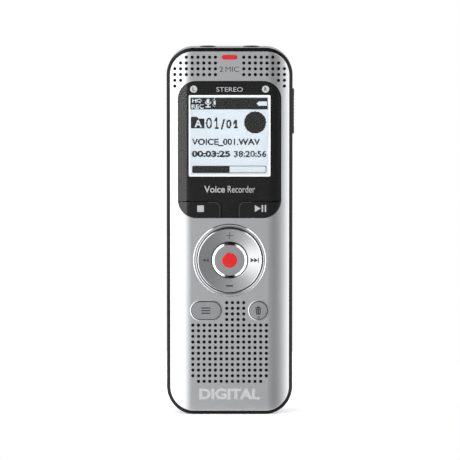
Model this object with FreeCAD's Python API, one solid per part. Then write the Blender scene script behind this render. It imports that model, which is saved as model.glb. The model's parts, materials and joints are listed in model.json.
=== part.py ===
"""Handheld voice recorder: a slim upright case with a square display, five key groups and a speaker grille.

Millimetres. +Z up along the case, the front faces -Y, +X is the right side seen from the front.
The origin is the centre of the bottom face. Each sub-part goes to parts/NODE.step.
"""

import FreeCAD
import Part

import math
import os

V = FreeCAD.Vector

# ---- Case -------------------------------------------------------------------------------------
WIDTH = 37.0
HEIGHT = 108.0
DEPTH = 18.0
CORNER_R = 8.0  # outline corners, seen from the front
FLANK_W = 7.3  # width of each rolled side of the front
FLANK_R = 12.0  # radius of the rolled sides
BACK_EDGE_R = 2.6
WALL = 1.5  # side walls of both housings
PARTING_LAP = 0.2  # front housing's edge behind the board

# ---- Front skin and front housing -------------------------------------------------------------
SKIN_T = 0.6
SKIN_INSET = 1.0  # the black rim left round the metal skin
SKIN_EDGE_R = 0.2
RIM_SINK = 0.25  # rim below the skin's surface
RIM_EDGE_R = 0.3
FRONT_WALL = 1.1  # plastic wall behind the skin
BOND_GAP = 0.05  # glue line and side clearance of bonded pieces

# ---- Display ----------------------------------------------------------------------------------
WINDOW_SIDE = 3.3  # in from the sides of the case
WINDOW_H = 40.3  # the lens and the two keys below it
WINDOW_TOP = 9.7  # down from the top of the case
WINDOW_R = 5.4
LENS_PROUD = 0.1
LENS_T = 1.2
LENS_GAP = 0.08
MASK_T = 0.1
ADHESIVE_T = 0.1
ADHESIVE_INSET = 0.3  # inside the lens's outline
ADHESIVE_REVEAL = 0.8  # outside the clear square
SCREEN_SIDE = 23.9  # clear square in the lens's printed mask
SCREEN_TOP = 4.2  # down from the window's top
SCREEN_R = 0.3
SCREEN_REVEAL = 0.3  # opening in the housing, larger than the clear square
LCD_BORDER = 1.7  # glass beyond the clear square
LCD_LEDGE = 1.6  # extra glass below the picture, for the driver chip
LCD_R = 0.4
LCD_T = 1.3
BACKLIGHT_T = 1.1
BACKLIGHT_INSET = 0.2
LCD_HOLDER_WALL = 0.7
LCD_POCKET_GAP = 0.1  # holder to the pocket in the front wall
FLEX_W = 12.0
FLEX_T = 0.15
FLEX_DROP = 1.2  # how far the cable hangs below the holder
FLEX_PLUG_W = 13.2
FLEX_PLUG_T = 0.6

# ---- Keys -------------------------------------------------------------------------------------
KEY_GAP = 0.12
KEY_TRAVEL = 0.3
KEY_PROUD = 0.35
KEY_EDGE_R = 0.22
KEY_FLANGE = 0.5  # flange beyond the cap
KEY_FLANGE_T = 0.7
KEY_FLANGE_R = 0.4
KEY_FLANGE_REACH = 0.6  # lower keys' flange past the flat of the front
LOWER_KEY_H = 4.85  # stop and play keys, inside the window's outline
LOWER_KEY_R = 1.8
LOWER_KEY_EDGE_R = 0.12
LOWER_KEY_SPLIT = 5.2  # lens tab between the stop and play keys
SMALL_KEY_H = 5.3
SMALL_KEY_GAP = 1.5  # menu and delete keys below the ring's bezel
MENU_KEY_W = 8.75
MENU_KEY_X = -6.85
DELETE_KEY_X = 8.5
PIP_R = 0.32  # raised pip on the delete key
PIP_INSET = 0.55
NEAR_FULL = 0.01  # what a rounded end keeps of its straight side

# ---- Ring and record key ----------------------------------------------------------------------
RING_GAP = 1.7  # ring's bezel below the window
RING_R = 9.45
RING_HOLE_R = 5.35
RING_DISH = 0.45  # outer edge above inner edge
RING_PROUD = 0.45
RING_BEVEL = 0.25
RING_CLEAR = 0.3  # between the ring and its bezel
RING_TILT_DEG = 1.5
BEZEL_W = 0.95
BEZEL_PROUD = 0.22
BEZEL_SLOPE_W = 0.43  # inner slope of the bezel
BEZEL_SLOPE_D = 0.37
BEZEL_BEVEL = 0.2
CARRIER_T = 0.45
CARRIER_LAP = 0.8  # carrier plate beyond the ring
CARRIER_CLEAR = 0.06  # left between the tilted carrier and the front wall
RIDGE_W = 0.7
RIDGE_LENGTH = 2.8
RIDGE_GAP = 0.02
RECORD_R = 5.1
RECORD_FACE_R = 4.5
RECORD_PROUD = 0.35
RECORD_BEVEL_D = 0.44
DOT_R = 2.2
DOT_GAP = 0.02
DOT_SEAT = 0.5
DOT_PROUD = 0.12
DOT_EDGE_R = 0.1

# ---- Grilles, indicator and microphones ---------------------------------------------------------
HOLE_R = 0.48
SPEAKER_PITCH = 1.665
SPEAKER_COLUMNS = 14
SPEAKER_ROWS = 11
THROAT_COLUMNS = (6, 7, 8, 9)  # columns that run on up between the two small keys
THROAT_ROWS = 4
SPEAKER_TOP = 4.35  # first full row below the small keys' centre
MIC_PITCH = 1.7
MIC_SIDE = 2.45  # outermost column, in from the side
MIC_MIDDLE = 4.15  # no hole nearer the middle than this
MIC_FIRST_DROP = 2.75  # first row below the top of the case
# first and end column of each row, from the outside
MIC_ROWS = ((2, None), (1, None), (0, None), (0, None), (0, 2), (0, 1))
LED_W = 4.4
LED_H = 1.24
LED_SINK = 0.05
LED_EDGE_R = 0.08
DIODE_W = 3.0
DIODE_H = 1.0
DIODE_T = 0.7
DIODE_GAP = 0.15
MIC_R = 2.0
MIC_T = 1.5
MIC_STANDOFF = 0.2
MIC_BOOT_WALL = 0.6
MIC_BOOT_BACK = 0.5
MIC_X = 7.6
MIC_DROP = 6.1

# ---- Speaker ------------------------------------------------------------------------------------
SPEAKER_R = 9.4
SPEAKER_BELOW_MAT = 0.4
SPEAKER_SEAT = 0.6  # rim seated on the wall round the opening
SPEAKER_SHEET_T = 0.5
SPEAKER_DEPTH = 2.2
GASKET_W = 0.5
GASKET_T = 0.3
MESH_T = 0.15
MESH_GAP = 0.02
CONE_GAP = 0.05
CONE_T = 0.2
CONE_FRONT_GAP = 0.5
CONE_ROLL_W = 1.5
CONE_ROLL_RISE = 0.35
CAP_R = 3.0  # dust cap in the middle of the cone
CAP_DEPTH = 0.75
MAGNET_R = 5.2
MAGNET_GAP = 0.1

# ---- Battery tray and door --------------------------------------------------------------------
CELL_R = 5.1
CELL_LENGTH = 44.5
CELL_EDGE_R = 0.4
NUB_R = 1.9
NUB_H = 0.9
CELL_GAP = 0.3  # divider between the two bays
CELL_CLEAR = 0.1
SPRING_ROOM = 3.0
SPRING_WIRE_R = 0.25
SPRING_TURNS = 3
SPRING_STEPS = 16  # straight pieces in a turn
SPRING_SIDES = 8
SPRING_R = 3.2
SPRING_TAPER_DEG = 14.0
SPRING_GAP = 0.05
PLATE_T = 0.3
PLATE_REACH = 2.4  # contact plate's half width
PLATE_INSET = 0.6
TRAY_WALL = 0.9
TRAY_FLOOR = 0.55
TRAY_Z = 6.6  # bottom of the cell bays
DOOR_T = 1.0
DOOR_LAP = 1.05  # door beyond the sides of the tray
DOOR_BEYOND = 5.0  # door above the cell bays
DOOR_BOTTOM = 0.15  # door's end above the bottom of the case
DOOR_GAP = 0.1
RAIL_W = 0.7
RAIL_T = 0.42
RAIL_Z = 6.0
RAIL_DROP = 4.0  # rails end below the door's top
RAIL_END_GAP = 0.2
LATCH_W = 6.25
LATCH_ROOT = 1.0
LATCH_GAP = 0.15
THUMB_W = 12.0
THUMB_H = 8.0
THUMB_DROP = 4.0  # thumb recess below the door's top
THUMB_DEPTH = 0.35
THUMB_R = 3.9
RIB_WIDTHS = (7.2, 8.6, 8.6, 7.2)
RIB_H = 0.7
RIB_PITCH = 1.5
RIB_DROP = 1.3  # first rib below the recess's top
RIB_R = 0.3
RIB_ROOT = 0.7
PAD_W = 6.0
PAD_LENGTH = 24.0
PAD_T = 0.4
PAD_R = 0.8

# ---- Board and keypad -----------------------------------------------------------------------------
BOARD_T = 1.0
BOARD_INSET = 0.3  # board edge inside the walls
BOARD_GAP = 0.15  # board to battery tray
HOLE_CLEAR = 0.2  # round the screws in the board
MAGNET_CLEAR = 0.5
MAT_T = 0.5
MAT_GAP = 0.1  # pressed keys to the mat
MAT_MARGIN = 0.4
MAT_R = 1.0
PLUNGER_R = 0.9
PLUNGER_GAP = 0.05
DOME_R = 2.0
DOME_T = 0.3
CHIP_Z = 1.5  # lowest chip above the battery tray
CHIPS = (  # left edge, height above the lowest chip, width, height, thickness
    (-9.5, 0.0, 9.0, 9.0, 1.0),  # processor
    (1.0, 0.0, 12.0, 8.0, 1.1),  # memory
    (-9.5, 10.5, 6.0, 5.0, 0.9),  # sound amplifier
    (-1.5, 11.0, 4.0, 4.0, 0.8),  # regulator
    (4.5, 10.5, 5.5, 3.2, 1.3),  # crystal
)

# ---- Sockets, switch and screws -------------------------------------------------------------------
JACK_R = 1.8  # bore for a 3.5 mm plug
JACK_DEPTH = 14.2
JACK_COLLAR_R = 2.45
JACK_COLLAR_PROUD = 0.3
JACK_COLLAR_GAP = 0.1
JACK_COLLAR_EDGE_R = 0.2
JACK_X = 6.4
JACK_BODY_W = 6.2
JACK_BODY_LENGTH = 13.6
JACK_BODY_GAP = 0.3  # below the top wall
USB_W = 7.5
USB_T = 2.6
USB_R = 0.6
USB_LENGTH = 5.0
USB_SHELL = 0.3
USB_SINK = 0.2
USB_GAP = 0.3
USB_FOOT_T = 1.2
USB_FOOT_GAP = 0.05
TONGUE_T = 0.6
TONGUE_SIDE = 0.9  # tongue in from the shell's inside
TONGUE_SINK = 0.8
SLIDER_LENGTH = 13.4
SLIDER_H = 4.4
SLIDER_R = 0.9
SLIDER_EDGE_R = 0.3
SLIDER_PROUD = 0.55
SLIDER_TRAVEL = 1.5
SLIDER_DROP = 19.0  # centre below the top of the case
SLIDER_BEHIND = 4.6  # centre behind the parting line
SLIDER_RECESS = 0.4
SLIDER_GAP = 0.1
SLIDER_END_GAP = 0.3
GRIP_R = 0.34
GRIP_RISE = 0.12
GRIP_PITCH = 1.0
GRIP_COUNT = 9
GRIP_MARGIN = 0.1
STEM_LENGTH = 5.0
STEM_H = 2.6
KEEPER_T = 0.6
KEEPER_LAP = 0.8
PEG = 1.0
PEG_DROP = 1.0  # peg's centre in front of the slider's centre
PEG_LENGTH = 0.9
SWITCH_W = 2.6
SWITCH_H = 8.6
SWITCH_GAP = 0.1
SWITCH_LAP = 1.0  # switch body behind the slider's centre
SCREW_R = 0.7
SCREW_FIT = 0.02  # shank inside its threaded hole
SCREW_CLEAR = 0.15  # round the shank in the rear housing
SCREW_HEAD_R = 1.35
SCREW_HEAD_T = 0.7
SCREW_HEAD_EDGE_R = 0.25
SCREW_HEAD_CLEAR = 0.2
SCREW_SINK = 0.4  # upper heads below the back
SCREW_BITE = 2.4  # hole's depth in the front housing
SCREW_END_GAP = 0.2
CROSS_LENGTH = 1.7
CROSS_W = 0.28
CROSS_DEPTH = 0.35
BOSS_R = 1.9
REAR_BOSS_R = 2.1
BOSS_ROOT = 0.3  # bosses run this far into the walls
UPPER_SCREW_SIDE = 4.6
UPPER_SCREW_TOP = 7.5
LOWER_SCREW_X = 9.4
LOWER_SCREW_Z = 3.9

# ---- Places that follow from the sizes above ----------------------------------------------------
FRONT_Y = -DEPTH / 2
BACK_Y = DEPTH / 2
FLAT_HALF_W = WIDTH / 2 - FLANK_W
WALL_BACK = SKIN_T + BOND_GAP + FRONT_WALL  # depth of the front wall's inner face
WALL_BACK_Y = FRONT_Y + WALL_BACK
WINDOW_W = WIDTH - 2 * WINDOW_SIDE
WINDOW_Z1 = HEIGHT - WINDOW_TOP
WINDOW_Z0 = WINDOW_Z1 - WINDOW_H
LENS_BACK = LENS_T - LENS_PROUD
LOWER_KEY_Z1 = WINDOW_Z0 + LOWER_KEY_H
SCREEN_Z1 = WINDOW_Z1 - SCREEN_TOP
SCREEN_Z0 = SCREEN_Z1 - SCREEN_SIDE
LCD_Y = WALL_BACK_Y + BOND_GAP
LCD_Z0 = SCREEN_Z0 - LCD_BORDER - LCD_LEDGE
LCD_Z1 = SCREEN_Z1 + LCD_BORDER
FLEX_Y = LCD_Y + LCD_T - 2 * FLEX_T
BEZEL_R0 = RING_R + RING_CLEAR
BEZEL_R1 = BEZEL_R0 + BEZEL_W
RING_Z = WINDOW_Z0 - RING_GAP - BEZEL_R1
RING_BACK_Y = WALL_BACK_Y
RING_MIDDLE_R = (RING_HOLE_R + RING_R) / 2
CARRIER_R = RING_R + CARRIER_LAP
CARRIER_SWING = CARRIER_R * math.sin(math.radians(RING_TILT_DEG))
CARRIER_Y = RING_BACK_Y + CARRIER_SWING + CARRIER_CLEAR
RECORD_Y = FRONT_Y - RECORD_PROUD
SMALL_KEY_Z = RING_Z - BEZEL_R1 - SMALL_KEY_GAP - SMALL_KEY_H / 2
KEY_FLANGE_Y = WALL_BACK_Y + BOND_GAP
KEY_BACK_Y = KEY_FLANGE_Y + KEY_FLANGE_T
MAT_Y = max(KEY_BACK_Y + KEY_TRAVEL, CARRIER_Y + CARRIER_T + CARRIER_SWING) + MAT_GAP
MAT_Z0 = SMALL_KEY_Z - SMALL_KEY_H / 2 - KEY_FLANGE
MAT_Z1 = LOWER_KEY_Z1 + KEY_FLANGE + MAT_MARGIN
SPEAKER_Z = MAT_Z0 - SPEAKER_BELOW_MAT - SPEAKER_R
SPEAKER_ROW_Z = SMALL_KEY_Z - SPEAKER_TOP
SPEAKER_Y = WALL_BACK_Y + GASKET_T
MIC_Z = HEIGHT - MIC_DROP
LED_Z = HEIGHT - MIC_FIRST_DROP
CELL_X = CELL_R + CELL_CLEAR + CELL_GAP / 2
CELL_Y = BACK_Y - DOOR_T - 2 * CELL_CLEAR - CELL_R
TRAY_HALF_W = 2 * (CELL_R + CELL_CLEAR) + CELL_GAP / 2 + TRAY_WALL
TRAY_FRONT_Y = CELL_Y - CELL_R - CELL_CLEAR - TRAY_FLOOR
BAY_Z1 = TRAY_Z + 2 * PLATE_T + SPRING_ROOM + CELL_LENGTH + 2 * CELL_CLEAR
DOOR_HALF_W = TRAY_HALF_W + DOOR_LAP
DOOR_Y = BACK_Y - DOOR_T
DOOR_Z1 = BAY_Z1 + DOOR_BEYOND
RAIL_Z1 = DOOR_Z1 - RAIL_DROP
BOARD_BACK_Y = TRAY_FRONT_Y - BOARD_GAP
BOARD_Y = BOARD_BACK_Y - BOARD_T
PARTING_Y = BOARD_BACK_Y + PARTING_LAP
JACK_Y = BOARD_BACK_Y + JACK_BODY_W / 2
JACK_MOUTH_Z = HEIGHT + JACK_COLLAR_PROUD
JACK_BODY_Z1 = HEIGHT - WALL - JACK_BODY_GAP
USB_Y0 = BOARD_BACK_Y
USB_Y1 = USB_Y0 + USB_T
SIDE_X = WIDTH / 2
SLIDER_Y = PARTING_Y + SLIDER_BEHIND
SLIDER_Z = HEIGHT - SLIDER_DROP
KEEPER_X = SIDE_X - WALL - SLIDER_GAP
SWITCH_X = KEEPER_X - KEEPER_T - SWITCH_GAP
UPPER_SCREWS = [(side * (SIDE_X - UPPER_SCREW_SIDE), HEIGHT - UPPER_SCREW_TOP) for side in (-1, 1)]
LOWER_SCREWS = [(side * LOWER_SCREW_X, LOWER_SCREW_Z) for side in (-1, 1)]
SCREWS = [(x, z, BACK_Y - SCREW_SINK) for x, z in UPPER_SCREWS]
SCREWS += [(x, z, DOOR_Y - 2 * DOOR_GAP) for x, z in LOWER_SCREWS]

BEYOND = 5.0  # how far cutting tools run past the piece they cut
AHEAD_Y = FRONT_Y - BEYOND
TINY = 1e-6
ON_SURFACE = 1e-3


# ---- Shapes used more than once -----------------------------------------------------------------
def box(x0, x1, y0, y1, z0, z1):
    return Part.makeBox(x1 - x0, y1 - y0, z1 - z0, V(x0, y0, z0))


def rod_y(x, z, radius, y0, y1):
    return Part.makeCylinder(radius, y1 - y0, V(x, y0, z), V(0, 1, 0))


def rod_z(x, y, radius, z0, z1):
    return Part.makeCylinder(radius, z1 - z0, V(x, y, z0), V(0, 0, 1))


def rounded_face(u0, u1, v0, v1, radius, place):
    """Face of a rounded rectangle; place(u, v) turns its two measures into a point."""
    corners = ((u0, v0, 1, 1), (u1, v0, -1, 1), (u1, v1, -1, -1), (u0, v1, 1, -1))
    short = radius * (1 - math.sqrt(0.5))
    edges, ends = [], []
    for u, v, su, sv in corners:
        level, upright = place(u, v + sv * radius), place(u + su * radius, v)
        edges.append(Part.Arc(level, place(u + su * short, v + sv * short), upright).toShape())
        ends.append((level, upright) if su == sv else (upright, level))
    for here, after in zip(ends, ends[1:] + ends[:1]):
        edges.append(Part.makeLine(here[1], after[0]))
    return Part.Face(Part.Wire(Part.__sortEdges__(edges)))


def plate(x0, x1, z0, z1, radius, y0, y1):
    """Rounded rectangle, extruded along Y."""
    return rounded_face(x0, x1, z0, z1, radius, lambda u, v: V(u, y0, v)).extrude(V(0, y1 - y0, 0))


def plate_z(x0, x1, y0, y1, radius, z0, z1):
    """Rounded rectangle, extruded along Z."""
    return rounded_face(x0, x1, y0, y1, radius, lambda u, v: V(u, v, z0)).extrude(V(0, 0, z1 - z0))


def plate_x(y0, y1, z0, z1, radius, x0, x1):
    """Rounded rectangle, extruded along X."""
    return rounded_face(y0, y1, z0, z1, radius, lambda u, v: V(x0, u, v)).extrude(V(x1 - x0, 0, 0))


def outline(inset, y0, y1):
    """The case's outline, drawn in by inset all round."""
    half = SIDE_X - inset
    return plate(-half, half, inset, HEIGHT - inset, CORNER_R - inset, y0, y1)


def behind_front(sink):
    """Everything behind the rolled front surface, sunk by sink, as far as the back."""
    radius = FLANK_R - sink
    reach = SIDE_X + NEAR_FULL - FLAT_HALF_W
    angle = math.asin(reach / radius)
    centre_y = FRONT_Y + FLANK_R
    edges = [Part.makeLine(V(-FLAT_HALF_W, FRONT_Y + sink, -BEYOND), V(FLAT_HALF_W, FRONT_Y + sink, -BEYOND))]
    corners = []
    for side in (1, -1):
        points = [
            V(side * (FLAT_HALF_W + radius * math.sin(a)), centre_y - radius * math.cos(a), -BEYOND)
            for a in (0, angle / 2, angle)
        ]
        edges.append(Part.Arc(*points).toShape())
        corners.append(V(points[2].x, BACK_Y + BEYOND, -BEYOND))
        edges.append(Part.makeLine(points[2], corners[-1]))
    edges.append(Part.makeLine(*corners))
    face = Part.Face(Part.Wire(Part.__sortEdges__(edges)))
    return face.extrude(V(0, 0, HEIGHT + 2 * BEYOND))


def front_layer(sink0, sink1):
    """Sheet between two depths below the rolled front surface."""
    return behind_front(sink0).cut(behind_front(sink1))


def on_front_surface(edge, sink=0.0):
    """True if the edge lies on the front surface sunk by sink, and is no seam between the flat and a roll."""
    bounds = edge.BoundBox
    if bounds.XLength < TINY and abs(abs(bounds.XMin) - FLAT_HALF_W) < ON_SURFACE:
        return False
    first, last = edge.ParameterRange
    point = edge.valueAt((first + last) / 2)
    over = abs(point.x) - FLAT_HALF_W
    if over <= 0:
        return abs(point.y - FRONT_Y - sink) < ON_SURFACE
    centre_y = FRONT_Y + FLANK_R
    return abs(math.hypot(over, point.y - centre_y) - (FLANK_R - sink)) < ON_SURFACE


def in_plane(axis, place):
    """Test for an edge that lies in the plane where the axis ("x", "y" or "z") has this place."""
    return lambda edge: abs(getattr(edge.CenterOfMass, axis) - place) < TINY


def turned(profile, z):
    """Solid of revolution about the line along Y through (0, z), from (radius, y) points."""
    points = [V(r, y, z) for r, y in profile]
    face = Part.Face(Part.makePolygon(points + points[:1]))
    return face.revolve(V(0, 0, z), V(0, 1, 0), 360)


def ring_y(z, r0, r1, y0, y1):
    return rod_y(0, z, r1, y0, y1).cut(rod_y(0, z, r0, y0 - BEYOND, y1 + BEYOND))


def joined(shapes):
    """Pieces that are one piece, without the seams between coplanar faces."""
    return shapes[0].fuse(shapes[1:]).removeSplitter()


def cut_all(shape, tools):
    return shape.cut(Part.makeCompound(tools))


def rounded(shape, radius, chosen):
    """Rounds the edges that chosen(edge) picks."""
    return shape.makeFillet(radius, [e for e in shape.Edges if chosen(e)])


def mirrored(shape):
    return shape.mirror(V(0, 0, 0), V(1, 0, 0))


# ---- Outlines shared by pieces that fit each other -------------------------------------------------
def window_shape(inset, y0=AHEAD_Y, y1=PARTING_Y):
    half = WINDOW_W / 2 - inset
    return plate(-half, half, WINDOW_Z0 + inset, WINDOW_Z1 - inset, WINDOW_R - inset, y0, y1)


def lower_key_corner(grow, y0, y1):
    """The left key's inner corner, as a long rounded plate that the window's outline then trims."""
    x1 = -LOWER_KEY_SPLIT / 2 - KEY_GAP / 2 + grow
    z1 = LOWER_KEY_Z1 + grow
    return plate(x1 - WIDTH, x1, z1 - HEIGHT, z1, LOWER_KEY_R + grow, y0, y1)


def lower_key_shape(grow, y0=AHEAD_Y, y1=PARTING_Y):
    return window_shape(KEY_GAP - grow, y0, y1).common(lower_key_corner(grow, y0, y1))


def lens_shape(inset):
    """The window's outline without the two keys."""
    notch = lower_key_corner(KEY_GAP + inset, AHEAD_Y - BEYOND, PARTING_Y + BEYOND)
    return window_shape(inset).cut(notch).cut(mirrored(notch))


def menu_shape(grow, y0=AHEAD_Y, y1=PARTING_Y):
    half_w, half_h = MENU_KEY_W / 2 + grow, SMALL_KEY_H / 2 + grow
    x0, x1 = MENU_KEY_X - half_w, MENU_KEY_X + half_w
    return plate(x0, x1, SMALL_KEY_Z - half_h, SMALL_KEY_Z + half_h, half_h - NEAR_FULL, y0, y1)


def delete_shape(grow, y0=AHEAD_Y, y1=PARTING_Y):
    return rod_y(DELETE_KEY_X, SMALL_KEY_Z, SMALL_KEY_H / 2 + grow, y0, y1)


def screen_shape(grow):
    half = SCREEN_SIDE / 2 + grow
    return plate(-half, half, SCREEN_Z0 - grow, SCREEN_Z1 + grow, SCREEN_R, AHEAD_Y, PARTING_Y)


def lcd_shape(grow, y0, y1):
    half = SCREEN_SIDE / 2 + LCD_BORDER + grow
    return plate(-half, half, LCD_Z0 - grow, LCD_Z1 + grow, LCD_R, y0, y1)


def led_shape(grow, y0=AHEAD_Y, y1=PARTING_Y):
    half_w, half_h = LED_W / 2 + grow, LED_H / 2 + grow
    return plate(-half_w, half_w, LED_Z - half_h, LED_Z + half_h, half_h - NEAR_FULL, y0, y1)


def speaker_opening(inset, y0=AHEAD_Y, y1=PARTING_Y):
    return rod_y(0, SPEAKER_Z, SPEAKER_R - SPEAKER_SEAT - inset, y0, y1)


def usb_opening():
    half = USB_W / 2 + USB_GAP
    return plate_z(-half, half, USB_Y0 - USB_GAP, USB_Y1 + USB_GAP, USB_R + USB_GAP, -BEYOND, WALL + USB_GAP)


def speaker_holes():
    first_x = -(SPEAKER_COLUMNS - 1) / 2 * SPEAKER_PITCH
    places = [(c, -r) for r in range(SPEAKER_ROWS - 1) for c in range(SPEAKER_COLUMNS)]
    places += [(c, 1 - SPEAKER_ROWS) for c in range(1, SPEAKER_COLUMNS - 1)]
    places += [(c, r + 1) for r in range(THROAT_ROWS) for c in THROAT_COLUMNS]
    return [(first_x + c * SPEAKER_PITCH, SPEAKER_ROW_Z + r * SPEAKER_PITCH) for c, r in places]


def mic_holes():
    outer_x = SIDE_X - MIC_SIDE
    columns = range(1 + int((outer_x - MIC_MIDDLE) / MIC_PITCH + ON_SURFACE))
    holes = []
    for row, (first, end) in enumerate(MIC_ROWS):
        z = LED_Z - row * MIC_PITCH
        holes += [(side * (outer_x - c * MIC_PITCH), z) for c in columns[first:end] for side in (-1, 1)]
    return holes


# ---- Front --------------------------------------------------------------------------------------
def front_cover():
    """Metal skin: rolled sides, grille holes and openings for the window and keys."""
    sheet = outline(SKIN_INSET, AHEAD_Y, PARTING_Y).common(front_layer(0, SKIN_T))
    sheet = rounded(sheet, SKIN_EDGE_R, on_front_surface)
    openings = [
        window_shape(0),
        rod_y(0, RING_Z, BEZEL_R1 + BOND_GAP, AHEAD_Y, PARTING_Y),
        menu_shape(KEY_GAP),
        delete_shape(KEY_GAP),
        led_shape(BOND_GAP),
    ]
    holes = [rod_y(x, z, HOLE_R, AHEAD_Y, PARTING_Y) for x, z in speaker_holes() + mic_holes()]
    return cut_all(cut_all(sheet, openings), holes)


def front_housing():
    """Black plastic tub behind the skin, with the rim that shows round it."""
    body = outline(0, AHEAD_Y, PARTING_Y).common(behind_front(RIM_SINK))
    body = rounded(body, RIM_EDGE_R, lambda e: on_front_surface(e, RIM_SINK))
    skin_seat = outline(SKIN_INSET - BOND_GAP, AHEAD_Y, PARTING_Y).cut(behind_front(SKIN_T + BOND_GAP))
    cavity = outline(WALL, FRONT_Y, PARTING_Y + BEYOND).common(behind_front(WALL_BACK))
    body = body.cut(skin_seat).cut(cavity)
    boss_room = behind_front(WALL_BACK - BOSS_ROOT)
    bosses = [rod_y(x, z, BOSS_R, FRONT_Y, BOARD_Y).common(boss_room) for x, z, _ in SCREWS]
    body = joined([body] + bosses)
    keys = lower_key_shape(KEY_GAP)
    tools = [
        lens_shape(0).cut(behind_front(LENS_BACK + MASK_T + ADHESIVE_T)),
        lcd_shape(LCD_HOLDER_WALL + LCD_POCKET_GAP, WALL_BACK_Y, BOARD_Y),
        screen_shape(SCREEN_REVEAL),
        keys,
        mirrored(keys),
        rod_y(0, RING_Z, BEZEL_R0, AHEAD_Y, PARTING_Y),
        menu_shape(KEY_GAP),
        delete_shape(KEY_GAP),
        led_shape(BOND_GAP),
        speaker_opening(0),
        usb_opening(),
    ]
    tools += [rod_y(side * MIC_X, MIC_Z, MIC_R, AHEAD_Y, PARTING_Y) for side in (-1, 1)]
    tools += [rod_y(x, z, SCREW_R, BOARD_Y - SCREW_BITE, BOARD_Y + BEYOND) for x, z, _ in SCREWS]
    return cut_all(body, tools)


def ring_bezel():
    """Bright trim ring set into the skin around the four-way ring."""
    back = FRONT_Y + SKIN_T
    front = FRONT_Y - BEZEL_PROUD
    profile = [
        (BEZEL_R0, back),
        (BEZEL_R0, front + BEZEL_SLOPE_D),
        (BEZEL_R0 + BEZEL_SLOPE_W, front),
        (BEZEL_R1 - BEZEL_BEVEL, front),
        (BEZEL_R1, front + BEZEL_BEVEL),
        (BEZEL_R1, back),
    ]
    return turned(profile, RING_Z)


def led_light_pipe():
    """Red window that carries the indicator's light to the front."""
    front = FRONT_Y + LED_SINK
    pipe = led_shape(0, front, BOARD_Y - DIODE_T - DIODE_GAP)
    return rounded(pipe, LED_EDGE_R, in_plane("y", front))


def record_led():
    half_w, half_h = DIODE_W / 2, DIODE_H / 2
    return box(-half_w, half_w, BOARD_Y - DIODE_T, BOARD_Y, LED_Z - half_h, LED_Z + half_h)


# ---- Display ------------------------------------------------------------------------------------
def window_lens():
    return lens_shape(LENS_GAP).common(front_layer(-LENS_PROUD, LENS_BACK))


def window_mask():
    """Printed film behind the lens, with the clear square for the display."""
    film = lens_shape(LENS_GAP).common(front_layer(LENS_BACK, LENS_BACK + MASK_T))
    return film.cut(screen_shape(0))


def window_adhesive():
    """Adhesive frame between the film and the front housing."""
    depth = LENS_BACK + MASK_T
    frame = lens_shape(LENS_GAP + ADHESIVE_INSET).common(front_layer(depth, depth + ADHESIVE_T))
    return frame.cut(screen_shape(ADHESIVE_REVEAL))


def lcd_glass():
    return lcd_shape(0, LCD_Y, LCD_Y + LCD_T)


def lcd_backlight():
    return lcd_shape(-BACKLIGHT_INSET, LCD_Y + LCD_T, LCD_Y + LCD_T + BACKLIGHT_T)


def lcd_holder():
    """Plastic frame round the glass and the backlight, with a slot for the flat cable."""
    outer = lcd_shape(LCD_HOLDER_WALL, LCD_Y, BOARD_Y)
    frame = outer.cut(lcd_shape(BOND_GAP, LCD_Y - BEYOND, BOARD_Y + BEYOND))
    half = FLEX_W / 2 + LCD_POCKET_GAP
    slot = box(-half, half, FLEX_Y - FLEX_T, FLEX_Y + 2 * FLEX_T, LCD_Z0 - BEYOND, LCD_Z0)
    return frame.cut(slot)


def lcd_flex():
    """Flat cable from the glass's lower edge, out through the holder, to its plug on the board."""
    half, half_plug = FLEX_W / 2, FLEX_PLUG_W / 2
    plug_y = BOARD_Y - FLEX_PLUG_T
    holder_z = LCD_Z0 - LCD_HOLDER_WALL - LCD_POCKET_GAP
    low = holder_z - FLEX_DROP
    return joined([
        box(-half, half, FLEX_Y, FLEX_Y + FLEX_T, low, LCD_Z0),
        box(-half, half, FLEX_Y, plug_y, low - FLEX_T, low),
        box(-half, half, plug_y - FLEX_T, plug_y, low - FLEX_T, holder_z - FLEX_T),
        box(-half_plug, half_plug, plug_y, BOARD_Y, low - FLEX_T, holder_z),
    ])


# ---- Keys ---------------------------------------------------------------------------------------
def lower_key(side):
    """Stop or play key: its front follows the lens, its flange runs above and below under the front wall."""
    cap = lower_key_shape(0, AHEAD_Y, KEY_BACK_Y).common(behind_front(-LENS_PROUD))
    cap = rounded(cap, LOWER_KEY_EDGE_R, lambda e: on_front_surface(e, -LENS_PROUD))
    x0, x1 = -FLAT_HALF_W - KEY_FLANGE_REACH, -LOWER_KEY_SPLIT / 2 - KEY_FLANGE
    z0, z1 = WINDOW_Z0 - KEY_FLANGE, LOWER_KEY_Z1 + KEY_FLANGE
    key = joined([cap, plate(x0, x1, z0, z1, KEY_FLANGE_R, KEY_FLANGE_Y, KEY_BACK_Y)])
    return key if side < 0 else mirrored(key)


def small_key(shape):
    """Menu or delete key: cap with a rounded edge on a flange."""
    front = FRONT_Y - KEY_PROUD
    cap = rounded(shape(0, front, KEY_BACK_Y), KEY_EDGE_R, in_plane("y", front))
    return joined([cap, shape(KEY_FLANGE, KEY_FLANGE_Y, KEY_BACK_Y)])


def delete_key():
    """The delete key has a raised pip at its lower edge, to be found by touch."""
    pip_z = SMALL_KEY_Z - SMALL_KEY_H / 2 + PIP_INSET
    pip = Part.makeSphere(PIP_R, V(DELETE_KEY_X, FRONT_Y - KEY_PROUD + NEAR_FULL, pip_z))
    return joined([small_key(delete_shape), pip])


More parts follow.
